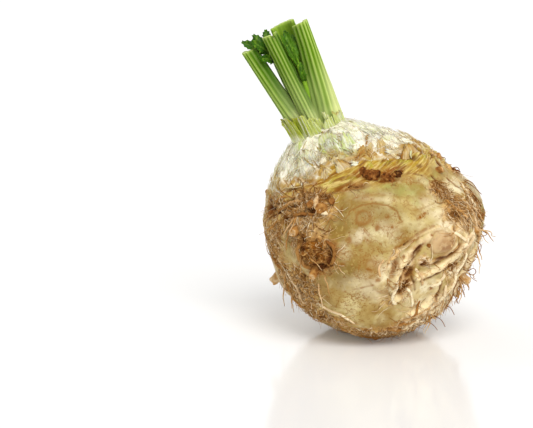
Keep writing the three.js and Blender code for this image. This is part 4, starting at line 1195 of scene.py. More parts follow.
def buildSideRoots():
    spec = sideRoots
    stations = spec["stations"]
    ways, radii, flat, tones = [], [], [], []
    for places, radius, flatness, tone in spec["front"]:
        at = facing(*np.array(places, float).T)
        ways.append(unit(throughPoints(at, stations)))
        radii.append(radius)
        flat.append(flatness)
        tones.append(tone)
    rng = np.random.default_rng(spec["extraSeed"])
    draw = drawFrom(strandSpec["seed"])
    for i in range(strandSpec["count"]):
        around = between(*strandSpec["round"], (i + draw()) / strandSpec["count"])
        start = onBearing(around, draw(*strandSpec["up"]))
        towards, across = alongSurface(start, rootPole)
        sway, reach = draw(*strandSpec["sway"]), draw(*strandSpec["reach"])
        s = np.linspace(0, 1, stations)[:, None]
        heading = unit(towards + across * sway * np.sin(math.pi * s))
        ways.append(unit(start * np.cos(reach * s) + heading * np.sin(reach * s)))
        radii.append(draw(*strandSpec["radius"]))
        flat.append(0.75)
        tones.append(rng.uniform(0.4, 0.7))
    knob = facing(*spec["clearKnob"])

    def chance(d):
        behind = 0.35 + 0.65 * smooth(-0.6, 0.2, d[:, 1])
        clear = smooth(0.35, 0.5, angleBetween(d, knob)) * smooth(0.7, 0.4, d[:, 2] - d[:, 1])
        return readRoot(d)[1]["rooty"] * behind * clear

    starts = scatter(spec["extraTries"], chance, rng)[: spec["extra"]]
    n = len(starts)
    drawn = walk(starts, rng.normal(0.25, 0.6, n), rng.uniform(*spec["extraLength"], n), stations,
                 rng.normal(0, 0.04, n), 0.1, rng)
    ways = np.concatenate((np.array(ways), drawn))
    radii = np.concatenate((radii, rng.uniform(*spec["extraRadius"], n)))
    flat = np.concatenate((flat, rng.uniform(0.5, 0.9, n)))
    tones = np.concatenate((tones, rng.uniform(0.25, 0.8, n) - 0.35 * readRoot(starts)[1]["rubbed"]))
    s = np.linspace(0, 1, stations)
    shape = np.sqrt(np.clip(np.sin(math.pi * np.clip(s, 0.02, 0.98)) * 2.2, 0, 1))
    widths = radii[:, None] * shape * (1 + 0.18 * layeredNoise(ways * meanRadius, 4, 2))
    lifts = widths * flat[:, None] * 0.35 - 1.3 * (1 - shape)
    paths = onRoot(ways, lifts)
    keepUp(paths, widths + 0.2)
    points, faces = sweep(paths, widths, widths * flat[:, None], spec["sides"])
    bark = spec["bark"] * radii.repeat(stations * spec["sides"])[:, None] * unit(points - rootCentre)
    points = points + bark * layeredNoise(points, 1.6, 2)[:, None]
    keepUp(points, 0.02)
    tone = np.repeat(tones, stations * spec["sides"]) + 0.22 * layeredNoise(points, 5, 2, 3.0)
    addCork("sideRoots", points, faces, tone)


buildSideRoots()
print("side roots")

# Stumps of cut side roots and the knobs in a row under the crown: across and up on the front, radius, length,
# tone of the bark and of the cut
stumps = {
    "front": (
        (-6.6, 33.2, 2.5, 0.9, 1.0, 1.0), (-3.2, 32.4, 2.8, 1.1, 0.97, 0.9), (-0.4, 33.8, 2.0, 0.7, 1.1, 1.1),
        (4.6, 33.2, 2.4, 0.9, 1.0, 1.0), (7.6, 31.4, 2.6, 1.0, 1.0, 0.95), (12.2, 34.2, 2.6, 1.0, 1.15, 1.15),
        (9.6, 33.8, 1.7, 0.6, 1.1, 1.1), (-41, 4, 2.6, 4, 0.7, 0.5), (-33, -17, 2.2, 5, 0.8, 0.5),
        (33, 36, 1.8, 2.6, 0.8, 0.6), (44, 35, 1.3, 1.4, 1, 0.9), (49, -22, 2.4, 5, 0.5, 0.3),
        (38.6, -4.2, 3.0, -1.5, 0.5, 0.55), (-28, 14.6, 2.7, 2.2, 0.75, 0.75), (-32.5, 17, 2.1, 2.6, 0.8, 0.8),
        (-24, 19, 1.7, 2.2, 0.85, 0.85), (27, -4.6, 1.2, 0.6, 1.0, 1.0), (-54, 13, 2.2, 1.6, 1.0, 0.9),
        (-54, 31.6, 1.3, 1.6, 0.9, 0.8), (34, 43.5, 2.4, 2, 0.7, 0.5), (51, 3.5, 1.7, 3, 0.5, 0.3),
    ),
    "back": {"count": 8, "round": (85, 285), "up": (-38, 22), "radius": (1.7, 2.9), "length": (3.5, 6.5), "seed": 31},
    "sink": 3,
    "lean": 0.45,
    "profile": (
        (0, 1.35), (0.3, 1.15), (0.6, 1.02), (0.85, 0.98), (0.97, 0.9), (1.02, 0.75), (1.0, 0.4), (0.97, 0.08),
    ),
    "domed": (
        (0, 1.3), (0.3, 1.2), (0.6, 1.12), (0.8, 1.02), (0.95, 0.85), (1.05, 0.6), (1.1, 0.3), (1.12, 0.05),
    ),
    "knobbyFrom": 0.95,  # tone of the bark over which a stump is a knob
    "rough": {"knob": 0.26, "stump": 0.16},
    "speckle": {"knob": 0.45, "stump": 0.3},
    "backSeed": 73,
    "perStep": 3,
    "sides": 28,
}


def buildStumps():
    spec = stumps
    rng = np.random.default_rng(spec["backSeed"])
    places = [(onFront(across, up), *rest) for across, up, *rest in spec["front"]]
    back = spec["back"]
    draw = drawFrom(back["seed"])
    for i in range(back["count"]):
        at = onBearing(between(*back["round"], (i + draw()) / back["count"]), draw(*back["up"]))
        size = draw(*back["radius"]), draw(*back["length"]) * 0.8
        places.append((at, *size, rng.uniform(0.4, 0.9), rng.uniform(0.4, 0.8)))
    angle = 2 * math.pi * np.arange(spec["sides"]) / spec["sides"]
    steps = np.linspace(0, 7, 7 * spec["perStep"] + 1)
    allPoints, allQuads, caps, tones = [], [], [], []
    for at, radius, length, barkTone, cutTone in places:
        towards, across = alongSurface(at, rootPole)
        lean = spec["lean"] if length > 1.2 else 0.1
        out = unit(at + towards * lean)
        side = unit(np.cross(out, across))
        other = np.cross(out, side)
        foot = onRoot(at, -spec["sink"])
        knobby = barkTone > spec["knobbyFrom"]
        kind = "knob" if knobby else "stump"
        profile = np.array(spec["domed" if knobby else "profile"])
        heights, sizes = (np.interp(steps, range(8), column) for column in profile.T)
        rows = []
        for height, width in zip(heights, sizes):
            ring = side * np.cos(angle)[:, None] + other * np.sin(angle)[:, None]
            rows.append(foot + out * height * (length + spec["sink"]) + ring * width * radius)
        rows = np.array(rows)
        rows = rows + (rows - foot) * spec["rough"][kind] * layeredNoise(rows, 1.8, 3)[..., None]
        count = len(rows)
        cell = np.arange(count * spec["sides"]).reshape(count, spec["sides"]) + sum(len(p) for p in allPoints)
        allQuads.append(ringFaces(cell))
        caps += [cell[:1, ::-1], cell[-1:]]
        allPoints.append(rows.reshape(-1, 3))
        cut = np.repeat(np.interp(steps, range(8), [0, 0, 0, 0.1, 0.3, 1, 1, 1]), spec["sides"]) * (not knobby)
        speckle = spec["speckle"][kind] * layeredNoise(rows.reshape(-1, 3), 1.3, 3)
        tones.append(between(barkTone, cutTone, cut) + speckle)
    points = np.concatenate(allPoints)
    addCork("rootStumps", points, [np.concatenate(allQuads), np.concatenate(caps)], np.concatenate(tones))


buildStumps()
print("stumps and knobs")


# Rootlets: those of the solid, drawn alike; a mat of thin ones over the rough places; and fine hairs
rootletPatches = (
    (onFront(46, 13), 0.24, 6), (onFront(54, -8), 0.3, 7), (onFront(43, -33), 0.24, 6),
    (onFront(24, -45), 0.22, 4), (onFront(-32, -10), 0.26, 6), (onFront(-44, 8), 0.22, 4),
    (onBearing(110, -20), 0.4, 5), (onBearing(150, -30), 0.4, 5), (onBearing(195, -22), 0.4, 5),
    (onBearing(240, -25), 0.4, 5), (onBearing(290, -30), 0.35, 4),
)
rootlets = {
    "sink": 2, "footRadius": 0.5, "tipRadius": 0.14, "heading": (-1.1, 1.1), "bend": (-0.28, 0.28),
    "length": (9, 17), "rise": (0.25, 0.6), "droop": 0.35, "seed": 47, "stations": 12, "sides": 6,
}


def buildRootlets():
    spec = rootlets
    draw = drawFrom(spec["seed"])
    s = np.linspace(0, 1, spec["stations"])[:, None]
    paths = []
    for patchAt, spread, count in rootletPatches:
        towards, across = alongSurface(patchAt, rootPole)
        for i in range(count):
            turn = draw(0, 2 * math.pi)
            offset = towards * math.cos(turn) + across * math.sin(turn)
            away = spread * math.sqrt(draw())
            at = unit(patchAt * math.cos(away) + offset * math.sin(away))
            localTowards, localAcross = alongSurface(at, rootPole)
            heading = unit(localTowards + localAcross * draw(*spec["heading"]))
            bend, length, rise = draw(*spec["bend"]), draw(*spec["length"]), draw(*spec["rise"])
            lift = spec["sink"] * s + length * rise * s * (1 - spec["droop"] * s)
            course = heading * length * s + localAcross * length * bend * s * s
            paths.append(onRoot(at, -spec["sink"]) + course + at * lift)
    paths = np.array(paths)
    wiggle = np.stack([layeredNoise(paths, 5, 2, shift) for shift in (1.1, 12.3, 23.5)], -1)
    paths = paths + wiggle * 2.6 * s
    radii = np.broadcast_to(between(spec["footRadius"], spec["tipRadius"], s[:, 0]), paths.shape[:2])
    keepUp(paths, radii + 0.1)
    points, faces = sweep(paths, radii, radii, spec["sides"])
    tone = 0.55 + 0.4 * layeredNoise(points, 9, 2, 5.0)
    addCork("rootlets", points, faces, tone)


# Radii and lengths in mm; lift is how high a rootlet bows over the skin
rootletMat = {
    "count": 3600, "tries": 60000, "radius": (0.14, 0.36), "length": (3, 10), "lift": 1.3, "stations": 9, "seed": 83,
    "turn": 1.3, "curl": 0.16, "wander": 0.22, "tone": 0.55, "toneSpread": 0.17,
}
rootHairs = {
    "count": 1300, "tries": 40000, "radius": (0.08, 0.14), "length": (3, 9), "rise": (0.1, 0.7), "stations": 8,
    "turn": 1.4, "curl": 0.28, "wander": 0.3, "tone": (0.45, 0.95), "edgeRadius": (0.27, 0.15), "edgeTone": 0.9,
    "seed": 89,
}


def buildMat():
    spec = rootletMat
    rng = np.random.default_rng(spec["seed"])

    def chance(d):
        layers = readRoot(d)[1]
        return layers["rooty"] * (0.4 - 0.3 * layers["rubbed"])

    starts = scatter(spec["tries"], chance, rng)[: spec["count"]]
    n, stations = len(starts), spec["stations"]
    length = skewed(rng, spec["length"], 1.6, n)
    turns, curls = rng.normal(0, spec["turn"], n), rng.normal(0, spec["curl"], n)
    ways = walk(starts, turns, length, stations, curls, spec["wander"], rng)
    s = np.linspace(0, 1, stations)
    lift = rng.uniform(0, 1, (n, 1)) ** 1.8 * spec["lift"] * np.sin(math.pi * s) ** 0.7
    radius = skewed(rng, spec["radius"], 1.5, (n, 1)) * between(1, 0.5, s)
    r, layers = readRoot(ways)
    points, faces = thinTubes(rootCentre + ways * (r + lift)[..., None], radius)
    tone = rng.normal(spec["tone"], spec["toneSpread"], (n, 1))
    # rootlets darker over the dark and stained places, which carries their painted shade
    tone = tone + 0.25 * layers["dark"] + 0.3 * layers["stain"] - 0.3 * layers["rubbed"] - 0.06
    tone = np.repeat(np.clip(tone, 0.05, 1.1), 3, axis=-1).reshape(-1)
    addCork("rootletMat", points, faces, tone)


# Tufts of short brown rootlets, dense where the photo shows them: place and reach in the picture's points,
# count, tone, how far they stand out in mm, and the way they lie in the picture in degrees up from the right
tufts = {
    "places": (
        (434, 182, 3.5, 35, 0.75, 1.0, -45), (438, 187, 4, 55, 0.68, 1.4, -50),
        (444, 192, 4.5, 60, 0.6, 1.6, -60), (451, 198, 5, 60, 0.58, 1.8, -70),
        (456, 205, 5.5, 65, 0.58, 1.8, -80), (452, 212, 4.5, 45, 0.65, 1.4, -70),
        (462, 213, 4.5, 35, 0.5, 1.8, -60), (467, 221, 4, 25, 0.48, 1.6, -80), (466, 196, 4, 20, 0.5, 1.6, -50),
        (473, 206, 4, 20, 0.48, 2.2, -40), (476, 218, 3.5, 20, 0.48, 2.4, -30),
        (478, 234, 3.5, 20, 0.45, 2.2, -30), (470, 268, 5, 25, 0.45, 1.8, -110),
        (460, 285, 5, 25, 0.45, 1.8, -120), (447, 303, 5, 25, 0.5, 1.8, -140), (275, 200, 6, 35, 0.5, 1.6, 100),
        (283, 209, 7, 45, 0.46, 1.8, 30), (297, 206, 7, 45, 0.5, 1.8, 60), (309, 201, 6, 45, 0.62, 1.6, 60),
        (320, 199, 5, 35, 0.65, 1.2, 20), (288, 224, 8, 45, 0.45, 1.8, -20), (303, 221, 7, 40, 0.46, 1.8, -30),
        (314, 216, 5, 25, 0.5, 1.6, -60), (291, 240, 7, 40, 0.5, 1.6, -60),
    ),
    "radius": (0.1, 0.24), "length": (2.5, 8), "spread": 0.7, "curl": 0.2, "wander": 0.25, "toneSpread": 0.16,
    "sunk": 0.15, "stations": 8, "seed": 97,
}


def buildTufts():
    spec = tufts
    rng = np.random.default_rng(spec["seed"])
    starts, angles, lifts, tones = [], [], [], []
    for across, down, reach, count, tone, lift, lies in spec["places"]:
        offset = rng.normal(0, reach * 0.55, (count, 2))
        at = facing(across + offset[:, 0], down + offset[:, 1])
        towards, sideways = alongSurface(at, rootPole)
        wanted = rightInPicture * math.cos(math.radians(lies)) + upInPicture * math.sin(math.radians(lies))
        starts.append(at)
        angles.append(np.arctan2(sideways @ wanted, towards @ wanted) + rng.normal(0, spec["spread"], count))
        lifts.append(np.full(count, lift))
        tones.append(np.clip(rng.normal(tone, spec["toneSpread"], count), 0.3, 1.1))
    starts, angles, lifts, tones = (np.concatenate(listed) for listed in (starts, angles, lifts, tones))
    n, stations = len(starts), spec["stations"]
    length = skewed(rng, spec["length"], 1.5, n)
    ways = walk(starts, angles, length, stations, rng.normal(0, spec["curl"], n), spec["wander"], rng)
    s = np.linspace(0, 1, stations)
    rise = rng.uniform(0, 1, (n, 1)) ** 1.5 * lifts[:, None] * np.sin(math.pi * s * 0.8) ** 0.7 + 0.4 * s
    radius = skewed(rng, spec["radius"], 1.5, (n, 1)) * between(1, 0.5, s)
    paths = onRoot(ways, rise - spec["sunk"])
    points, faces = thinTubes(paths, radius)
    addCork("rootletTufts", points, faces, np.repeat(tones, stations * 3))


# Hairs that stand out at the edge of the front view: places in the picture's points
edgeHairs = (
    ((465, 178), (475, 184), (485, 193)), ((469, 184), (475, 190), (479, 196), (482, 203)),
    ((475, 204), (480, 208), (486, 215)), ((479, 228), (484, 231), (488, 234), (484, 236), (479, 236)),
    ((464, 269), (469, 271), (474, 268), (477, 271), (475, 274.5), (471, 274), (470, 271), (472, 277), (478, 281)),
    ((461, 279), (459, 286), (456.7, 292), (455.4, 298), (453, 302), (449, 308), (446.8, 314)),
    ((427, 322), (433, 322), (438, 320), (441, 322)), ((426, 322), (433, 325), (437, 328), (440, 332)),
    ((478, 219), (483, 216), (487, 218)), ((461, 276), (465, 281), (468, 284)), ((472, 255), (478, 258)),
    ((467, 262), (474, 264)), ((482, 205), (486, 209), (485, 213)), ((455, 166), (461, 165), (464, 168)),
    ((470, 176), (478, 179), (483, 185)), ((474, 190), (481, 196), (486, 205)),
    ((479, 213), (486, 212), (491, 216)), ((477, 227), (483, 229), (488, 225)),
    ((475, 240), (481, 245), (480, 252)), ((461, 286), (466, 291), (468, 298)),
    ((456, 296), (461, 300), (464, 307)), ((449, 309), (456, 312), (460, 319)),
    ((468, 258), (473, 262), (477, 259)), ((437, 318), (445, 323), (449, 330)),
)


def buildHairs():
    spec = rootHairs
    rng = np.random.default_rng(spec["seed"])
    starts = scatter(spec["tries"], lambda d: readRoot(d)[1]["rooty"] * 0.5, rng)[: spec["count"]]
    n, stations = len(starts), spec["stations"]
    length = skewed(rng, spec["length"], 1.8, n)
    turns, curls = rng.normal(0, spec["turn"], n), rng.normal(0, spec["curl"], n)
    ways = walk(starts, turns, length, stations, curls, spec["wander"], rng)
    s = np.linspace(0, 1, stations)
    rise = rng.uniform(*spec["rise"], (n, 1)) * length[:, None] * s**1.3
    radius = rng.uniform(*spec["radius"], (n, 1)) * between(1, 0.6, s)
    paths = onRoot(ways, rise - 0.2)
    listed = []
    for places in edgeHairs:
        offsets = throughPoints(np.array(places, float), stations * 2)
        foot = facing(offsets[0, 0] - 1.5, offsets[0, 1])
        start = onRoot(foot, -0.3)
        moved = (offsets - offsets[0]) * view["pointSize"]
        listed.append(start + rightInPicture * moved[:, :1] - upInPicture * moved[:, 1:])
    listed = np.array(listed)
    listedRadius = np.broadcast_to(between(*spec["edgeRadius"], np.linspace(0, 1, stations * 2)), listed.shape[:2])
    points, faces = thinTubes(paths, radius)
    morePoints, moreFaces = thinTubes(listed, listedRadius, 4)
    groups = faces + [group + len(points) for group in moreFaces]
    tone = np.repeat(rng.uniform(*spec["tone"], n), stations * 3)
    tone = np.concatenate((tone, np.full(len(morePoints), spec["edgeTone"])))
    addCork("rootHairs", np.concatenate((points, morePoints)), groups, tone)


buildRootlets()
buildMat()
buildTufts()
buildHairs()
print("rootlets, mat and hairs")

# Torn leaf bases: stringy, half-dry celery fibre, off-white with pale green where the tissue is still fresh
# and tan where the torn edge has dried. The grain follows the strings.
tornLeafBase = {
    "ground": "#f9f2d8",
    "coats": (
        ("#cdb970", 0.5, None, (0.9, 0.52, 0.7)),
        ("#dfe2ae", 0.6, None, (0.6, 0.5, 0.6)),
        ("#9c7c3a", 0.6, None, (0.45, 0.6, 0.7)),
        ("#b6c962", 0.9, "fresh", (1.3, 0.25, 0.6)),
        ("#9aa616", 0.95, "lush", (2.0, 0.1, 0.4)),
        ("#fffdf0", 0.6, None, (1.6, 0.5, 0.68)),
        ("#c4a04a", 0.95, "gold", (1.6, 0.2, 0.5)),
        ("#96641f", 1.0, "dried", (1.5, 0.2, 0.55)),
    ),
    "shader": {
        "Roughness": 0.55, "Specular IOR Level": 0.15, "Subsurface Weight": 0.45,
        "Subsurface Radius": (1, 0.85, 0.45), "Subsurface Scale": 0.003,  # m
    },
    "grain": 0.8,  # mm
    "relief": {"Strength": 0.35, "Distance": 0.0005},  # m
}


tornMaterial = makeFinish("tornLeafBaseFibre", tornLeafBase, stringy=True)


# Sheets of torn tissue from their own grids: top and bottom points, then masks alike on both faces
def addSheets(name, tops, bottoms, masks, strings):
    points, faces = slab(np.array(tops), np.array(bottoms))
    layers = {key: np.stack((np.array(values),) * 2, 1).ravel() for key, values in masks.items()}
    layers["strings"] = np.stack((np.array(strings),) * 2, 1).reshape(-1, 3)
    addPiece(name, points, faces, layers, tornMaterial)


# Places scattered over the crown, clear of the stalks from some angle on
def onCrownStarts(tries, clear, rng):
    return scatter(tries, lambda d: readRoot(d)[1]["crown"] * smooth(*clear, angleBetween(d, crownAxis)), rng)


# Ragged flaps in rings round the crown, drawn as in the solid, then those seen on the front, then smaller ones
# between them. outward is how far from the stalks to the crown's edge a ring stands.
flapRings = (
    {"outward": 0.15, "count": 9, "length": 13, "width": 12, "lift": 2.0},
    {"outward": 0.55, "count": 12, "length": 12, "width": 12.5, "lift": 1.6},
    {"outward": 0.95, "count": 14, "length": 11, "width": 13, "lift": 1.2},
)
flaps = {
    "seed": 7, "innermost": 24, "rows": 11, "columns": 23, "tipThickness": 0.35, "rib": 1.7, "ribHeight": 0.22,
    "frontLift": 1.7, "extra": 80, "extraTries": 6000, "extraLength": (5, 12), "extraWidth": (3, 9),
    "extraLift": (-0.2, 0.8), "extraStray": 0.6, "extraSeed": 91,
}
# foot and tip in the picture's points, width and lift in mm, how dried, fresh and golden
frontFlaps = (
    ((330, 152), (326, 134), 16, 1.6, 0.2, 0.6, 0), ((353, 153), (344, 136), 10, 2.0, 0.1, 0.7, 0),
    ((354, 161), (323, 143), 5, 0.9, 0, 1.0, 0), ((341, 164), (317, 147), 5, 1.0, 0.1, 0.8, 0.1),
    ((350, 156), (330, 139), 4, 1.4, 0, 0.5, 0), ((371, 141), (356, 164), 6, 1.6, 0.7, 0, 1.0),
    ((366, 160), (371, 144), 5, 1.2, 0.3, 0, 0.7), ((387, 159), (378, 138), 9, 1.8, 0.4, 0, 0.8),
    ((413, 158), (404, 146), 12, 1.8, 0.6, 0.1, 0.8), ((393, 151), (386, 134), 13, 2.2, 0.1, 0.1, 0.1),
    ((422, 153), (411, 139), 10, 1.4, 0.6, 0.1, 0.5), ((301, 181), (304, 161), 8, 1.6, 0.1, 0.1, 0.1),
    ((284, 178), (290, 158), 7, 1.4, 0.1, 0, 0), ((313, 171), (307, 150), 9, 1.9, 0.2, 0.4, 0),
    ((297, 158), (301, 140), 8, 1.6, 0.1, 0.5, 0), ((346, 172), (336, 160), 9, 1.4, 0.5, 0.2, 0.5),
    ((368, 130), (352, 121), 12, 1.6, 0.1, 0.1, 0), ((321, 183), (325, 168), 7, 1.5, 0.4, 0, 0.7),
    ((275, 196), (282, 180), 6, 1.2, 0.4, 0, 0.4), ((335, 176), (318, 166), 6, 1.3, 0.5, 0, 0.6),
    ((345, 160), (334, 142), 5, 1.4, 0, 0.7, 0), ((378, 160), (365, 148), 7, 1.4, 0.7, 0, 1.0),
)


def buildFlaps():
    draw = drawFrom(flaps["seed"])
    rng = np.random.default_rng(flaps["extraSeed"])
    rows, columns = flaps["rows"], flaps["columns"]
    u, v = sheetGrid(rows, columns)
    placed = []
    for ring in flapRings:
        for i in range(ring["count"]):
            azimuth = 2 * math.pi * (i + draw(0, 0.5)) / ring["count"]
            innermost, outermost = math.radians(flaps["innermost"]), float(crownEdgeAt(np.array(azimuth)))
            fromAxis = between(innermost, outermost, ring["outward"]) + math.radians(draw(-2, 2))
            length = ring["length"] * draw(0.75, 1.2)
            halfWidth = ring["width"] * draw(0.38, 0.56)
            twist = draw(-0.5, 0.5) * halfWidth
            torn = between(draw(-0.05, 0.05), draw(-0.05, 0.05), (v + 1) / 2) * meanRadius
            start = fromCrown(azimuth, fromAxis)
            placed.append((start, 0.0, length, halfWidth, twist, torn, ring["lift"], (0, 0, 0)))
    for foot, tip, width, lift, *look in frontFlaps:
        start, end = facing(*np.array((foot, tip), float).T)
        lift = lift * flaps["frontLift"]
        towards, across = alongSurface(start, crownAxis)
        stray = math.atan2(dot(end - start, across), dot(end - start, towards))
        length = np.linalg.norm(end - start) * meanRadius
        torn = between(*rng.uniform(-1.5, 1.5, 2), (v + 1) / 2)
        placed.append((start, stray, length, width / 2, 0.0, torn, lift, look))
    for start in onCrownStarts(flaps["extraTries"], (0.3, 0.42), rng)[: flaps["extra"]]:
        torn = between(*rng.uniform(-2, 2, 2), (v + 1) / 2)
        stray, length = rng.normal(0, flaps["extraStray"]), rng.uniform(*flaps["extraLength"])
        halfWidth, twist = rng.uniform(*flaps["extraWidth"]) / 2, rng.uniform(-0.4, 0.4)
        placed.append((start, stray, length, halfWidth, twist, torn, rng.uniform(*flaps["extraLift"]), (0, 0, 0)))
    tops, bottoms, dried, fresh, gold, strings = [], [], [], [], [], []
    for start, stray, length, halfWidth, twist, torn, lift, look in placed:
        shift = rng.uniform(0, 30)
        tear = np.abs(noiseOn((v * halfWidth / 1.2, shift, 0.0), 1, 3))
        towards, across = alongSurface(start, crownAxis)
        heading = towards * math.cos(stray) + across * math.sin(stray)
        sideways = across * math.cos(stray) - towards * math.sin(stray)
        forward = length * u * (1 - 0.6 * tear * u) + torn * u * u - 0.22 * length * u * v * v
        aside = v * halfWidth * (1.05 - 0.35 * u) + twist * u
        way = unit(start + (heading * forward[..., None] + sideways * aside[..., None]) / meanRadius)
        wander = layeredNoise(way * meanRadius + shift, 5, 2)
        fold = flaps["ribHeight"] * np.sin(2 * math.pi * (v * halfWidth / flaps["rib"] + wander)) * smooth(0, 0.3, u)
        fold = fold + 0.6 * wander * u - 0.8 * max(lift, 0.3) * np.abs(v) ** 3 * u
        top, here = onCrown(way, between(-1.0, lift, u**1.2) * (1 - 0.6 * smooth(0.6, 1, u)) + fold)
        thickness = between(1.8, flaps["tipThickness"], u**0.6)[..., None]
        tops.append(top)
        bottoms.append(top - unit(top - rootCentre) * thickness)
        tan = rng.choice([0, 0.2, 0.7], p=[0.5, 0.3, 0.2])
        edges = smooth(0.85, 1, u) * rng.uniform(0.1, 0.9) + tan * smooth(0.75, 1, np.abs(v))
        dried.append(np.clip(edges + look[0] + 0.2 * here["edge"], 0, 1))
        greener = rng.choice([0, 0.2, 0.6], p=[0.6, 0.25, 0.15])
        fresh.append(np.clip(here["fresh"] * 0.8 + look[1] + greener, 0, 1))
        gold.append(np.clip(here["edge"] * rng.uniform(0.6, 1.3) + look[2], 0, 1))
        strings.append(np.stack(np.broadcast_arrays(v * halfWidth + shift, u * length * 0.14, 0.0), -1))
    masks = {"dried": dried, "fresh": fresh, "gold": gold, "lush": np.zeros((len(tops), rows, columns))}
    addSheets("leafBaseFlaps", tops, bottoms, masks, strings)


# Narrow torn strips and single fibres between the flaps, leaning towards the stalks, more or less
stripTries = 40000
tornStrips = {
    "count": 100, "halfWidth": (0.3, 1.1), "thickness": 0.22, "sides": 4, "length": (8, 22), "lift": (0, 0.8),
    "stray": 0.6, "stations": 14, "seed": 97,
}
tornFibres = {
    "count": 1200, "halfWidth": (0.07, 0.16), "thickness": 0.12, "sides": 3, "length": (5, 18), "lift": (0, 2.4),
    "stray": 0.9, "stations": 10, "seed": 101,
}


def buildStrips(name, spec):
    rng = np.random.default_rng(spec["seed"])
    starts = onCrownStarts(stripTries, (0.2, 0.35), rng)[: spec["count"]]
    n, stations = len(starts), spec["stations"]
    length = rng.uniform(*spec["length"], n)
    ways = walk(starts, rng.normal(0, spec["stray"], n), length, stations, 0, 0.12, rng, crownAxis)
    s = np.linspace(0, 1, stations)
    lift = skewed(rng, spec["lift"], 1.8, (n, 1))
    lifts = -0.4 + (lift + 0.6) * s**0.8 + 0.4 * layeredNoise(ways * meanRadius, 3, 2)
    halfWidth = skewed(rng, spec["halfWidth"], 1.6, (n, 1))
    widths = halfWidth * np.clip(1.15 - 0.75 * s**2 + 0.5 * layeredNoise(ways * meanRadius, 2.2, 2), 0.15, 2)
    sides = spec["sides"]
    points, faces = sweep(onCrown(ways, lifts)[0], widths, np.full_like(widths, spec["thickness"]), sides)

    def perPoint(values):
        return np.repeat(np.broadcast_to(values, (n, stations)), sides, axis=-1).ravel()

    here = readRoot(starts)[1]
    tan = rng.choice([0, 0.3, 0.9], (n, 1), p=[0.75, 0.15, 0.1]) + 0.5 * smooth(0.8, 1, s) * rng.random((n, 1))
    dried = perPoint(tan + 0.3 * here["edge"][:, None])
    fresh = perPoint(np.clip(here["fresh"][:, None] * 0.9 + rng.choice([0, 0.5], (n, 1), p=[0.8, 0.2]), 0, 1))
    gold = perPoint(here["edge"][:, None])
    aside = np.tile(np.cos(2 * math.pi * np.arange(sides) / sides + math.pi / 2), n * stations)
    aside = aside * perPoint(widths) + perPoint(rng.uniform(0, 40, (n, 1)))
    strings = np.stack((aside, perPoint(s * 0.8), 0 * aside), -1)
    masks = {"dried": dried, "fresh": fresh, "gold": gold, "lush": 0 * fresh, "strings": strings}
    addPiece(name, points, faces, masks, tornMaterial)


# The collar of torn sheaths round the stalks, drawn as in the solid, fresh yellow-green; more, thinner, inside
collar = {
    "count": 10, "inside": 9, "middle": (-32.8, -0.5, 115), "up": (-0.44, 0, 0.898), "foot": (13.2, 12),
    "top": (15, 14), "rise": 2.2, "riseToLeft": 4.8, "length": 14, "seed": 13, "rows": 16, "columns": 15,
    "tear": 3.2, "footThickness": 1.6, "tipThickness": 0.4, "insideBy": 1.4,
}


def buildCollar():
    spec = collar
    draw = drawFrom(spec["seed"])
    rng = np.random.default_rng(107)
    up, middle = np.array(spec["up"]), np.array(spec["middle"])
    right, back = np.array((up[2], 0, -up[0])), np.array((0, 1.0, 0))
    rows, columns = spec["rows"], spec["columns"]
    s, v = sheetGrid(rows, columns)
    tops, bottoms, dried, fresh, lush, strings = [], [], [], [], [], []
    for i in range(spec["count"] + spec["inside"]):
        inside = i >= spec["count"]
        azimuth = 2 * math.pi * (i + draw(0, 0.4) + (0.5 if inside else 0)) / spec["count"]
        halfWidth = math.pi / spec["count"] * draw(0.7, 1.1)
        torn = between(draw(-3, 3), draw(-3, 3), (v + 1) / 2)
        shift = rng.uniform(0, 30)
        tear = noiseOn((v * 2.5, shift, 0.0), 1, 3)
        way = azimuth + v * halfWidth * (1.2 - 0.35 * s)
        height = spec["rise"] - spec["riseToLeft"] * np.cos(way) + (torn + spec["tear"] * tear) * s**2
        height = height - spec["length"] * (1 - s)
        wave = 0.35 * np.cos(v * 14 + shift) * (0.3 + s) + 0.9 * s * noiseOn((v * 2, s * 2, shift), 1, 2)
        wave = wave - spec["insideBy"] * inside
        halfX, halfY = (between(foot, top - inside, s * s) + wave for foot, top in zip(spec["foot"], spec["top"]))
        outward = right * np.cos(way)[..., None] + back * np.sin(way)[..., None]
        inner = (middle + up * height[..., None] + right * (halfX * np.cos(way))[..., None]
                 + back * (halfY * np.sin(way))[..., None])
        thickness = between(spec["footThickness"], spec["tipThickness"], s)[..., None]
        tops.append(inner + outward * thickness)
        bottoms.append(inner)
        dried.append(np.broadcast_to(smooth(0.9, 1, s) * rng.choice([0.1, 0.3, 0.8]), (rows, columns)))
        fresh.append(np.broadcast_to(between(0.5, 1, s) * rng.uniform(0.7, 1), (rows, columns)))
        toLeft = 0.6 + 0.4 * smooth(0.3, -0.6, np.cos(way))
        lush.append(np.broadcast_to(smooth(0.1, 0.5, s) * toLeft, (rows, columns)))
        strings.append(np.stack(np.broadcast_arrays(v * 5 + shift, s * 1.5, 0.0), -1))
    masks = {"dried": dried, "fresh": fresh, "gold": np.zeros((len(tops), rows, columns)), "lush": lush}
    addSheets("collarSheaths", tops, bottoms, masks, strings)


buildFlaps()
buildStrips("tornStrips", tornStrips)
buildStrips("tornFibres", tornFibres)
buildCollar()
print("crown and collar")

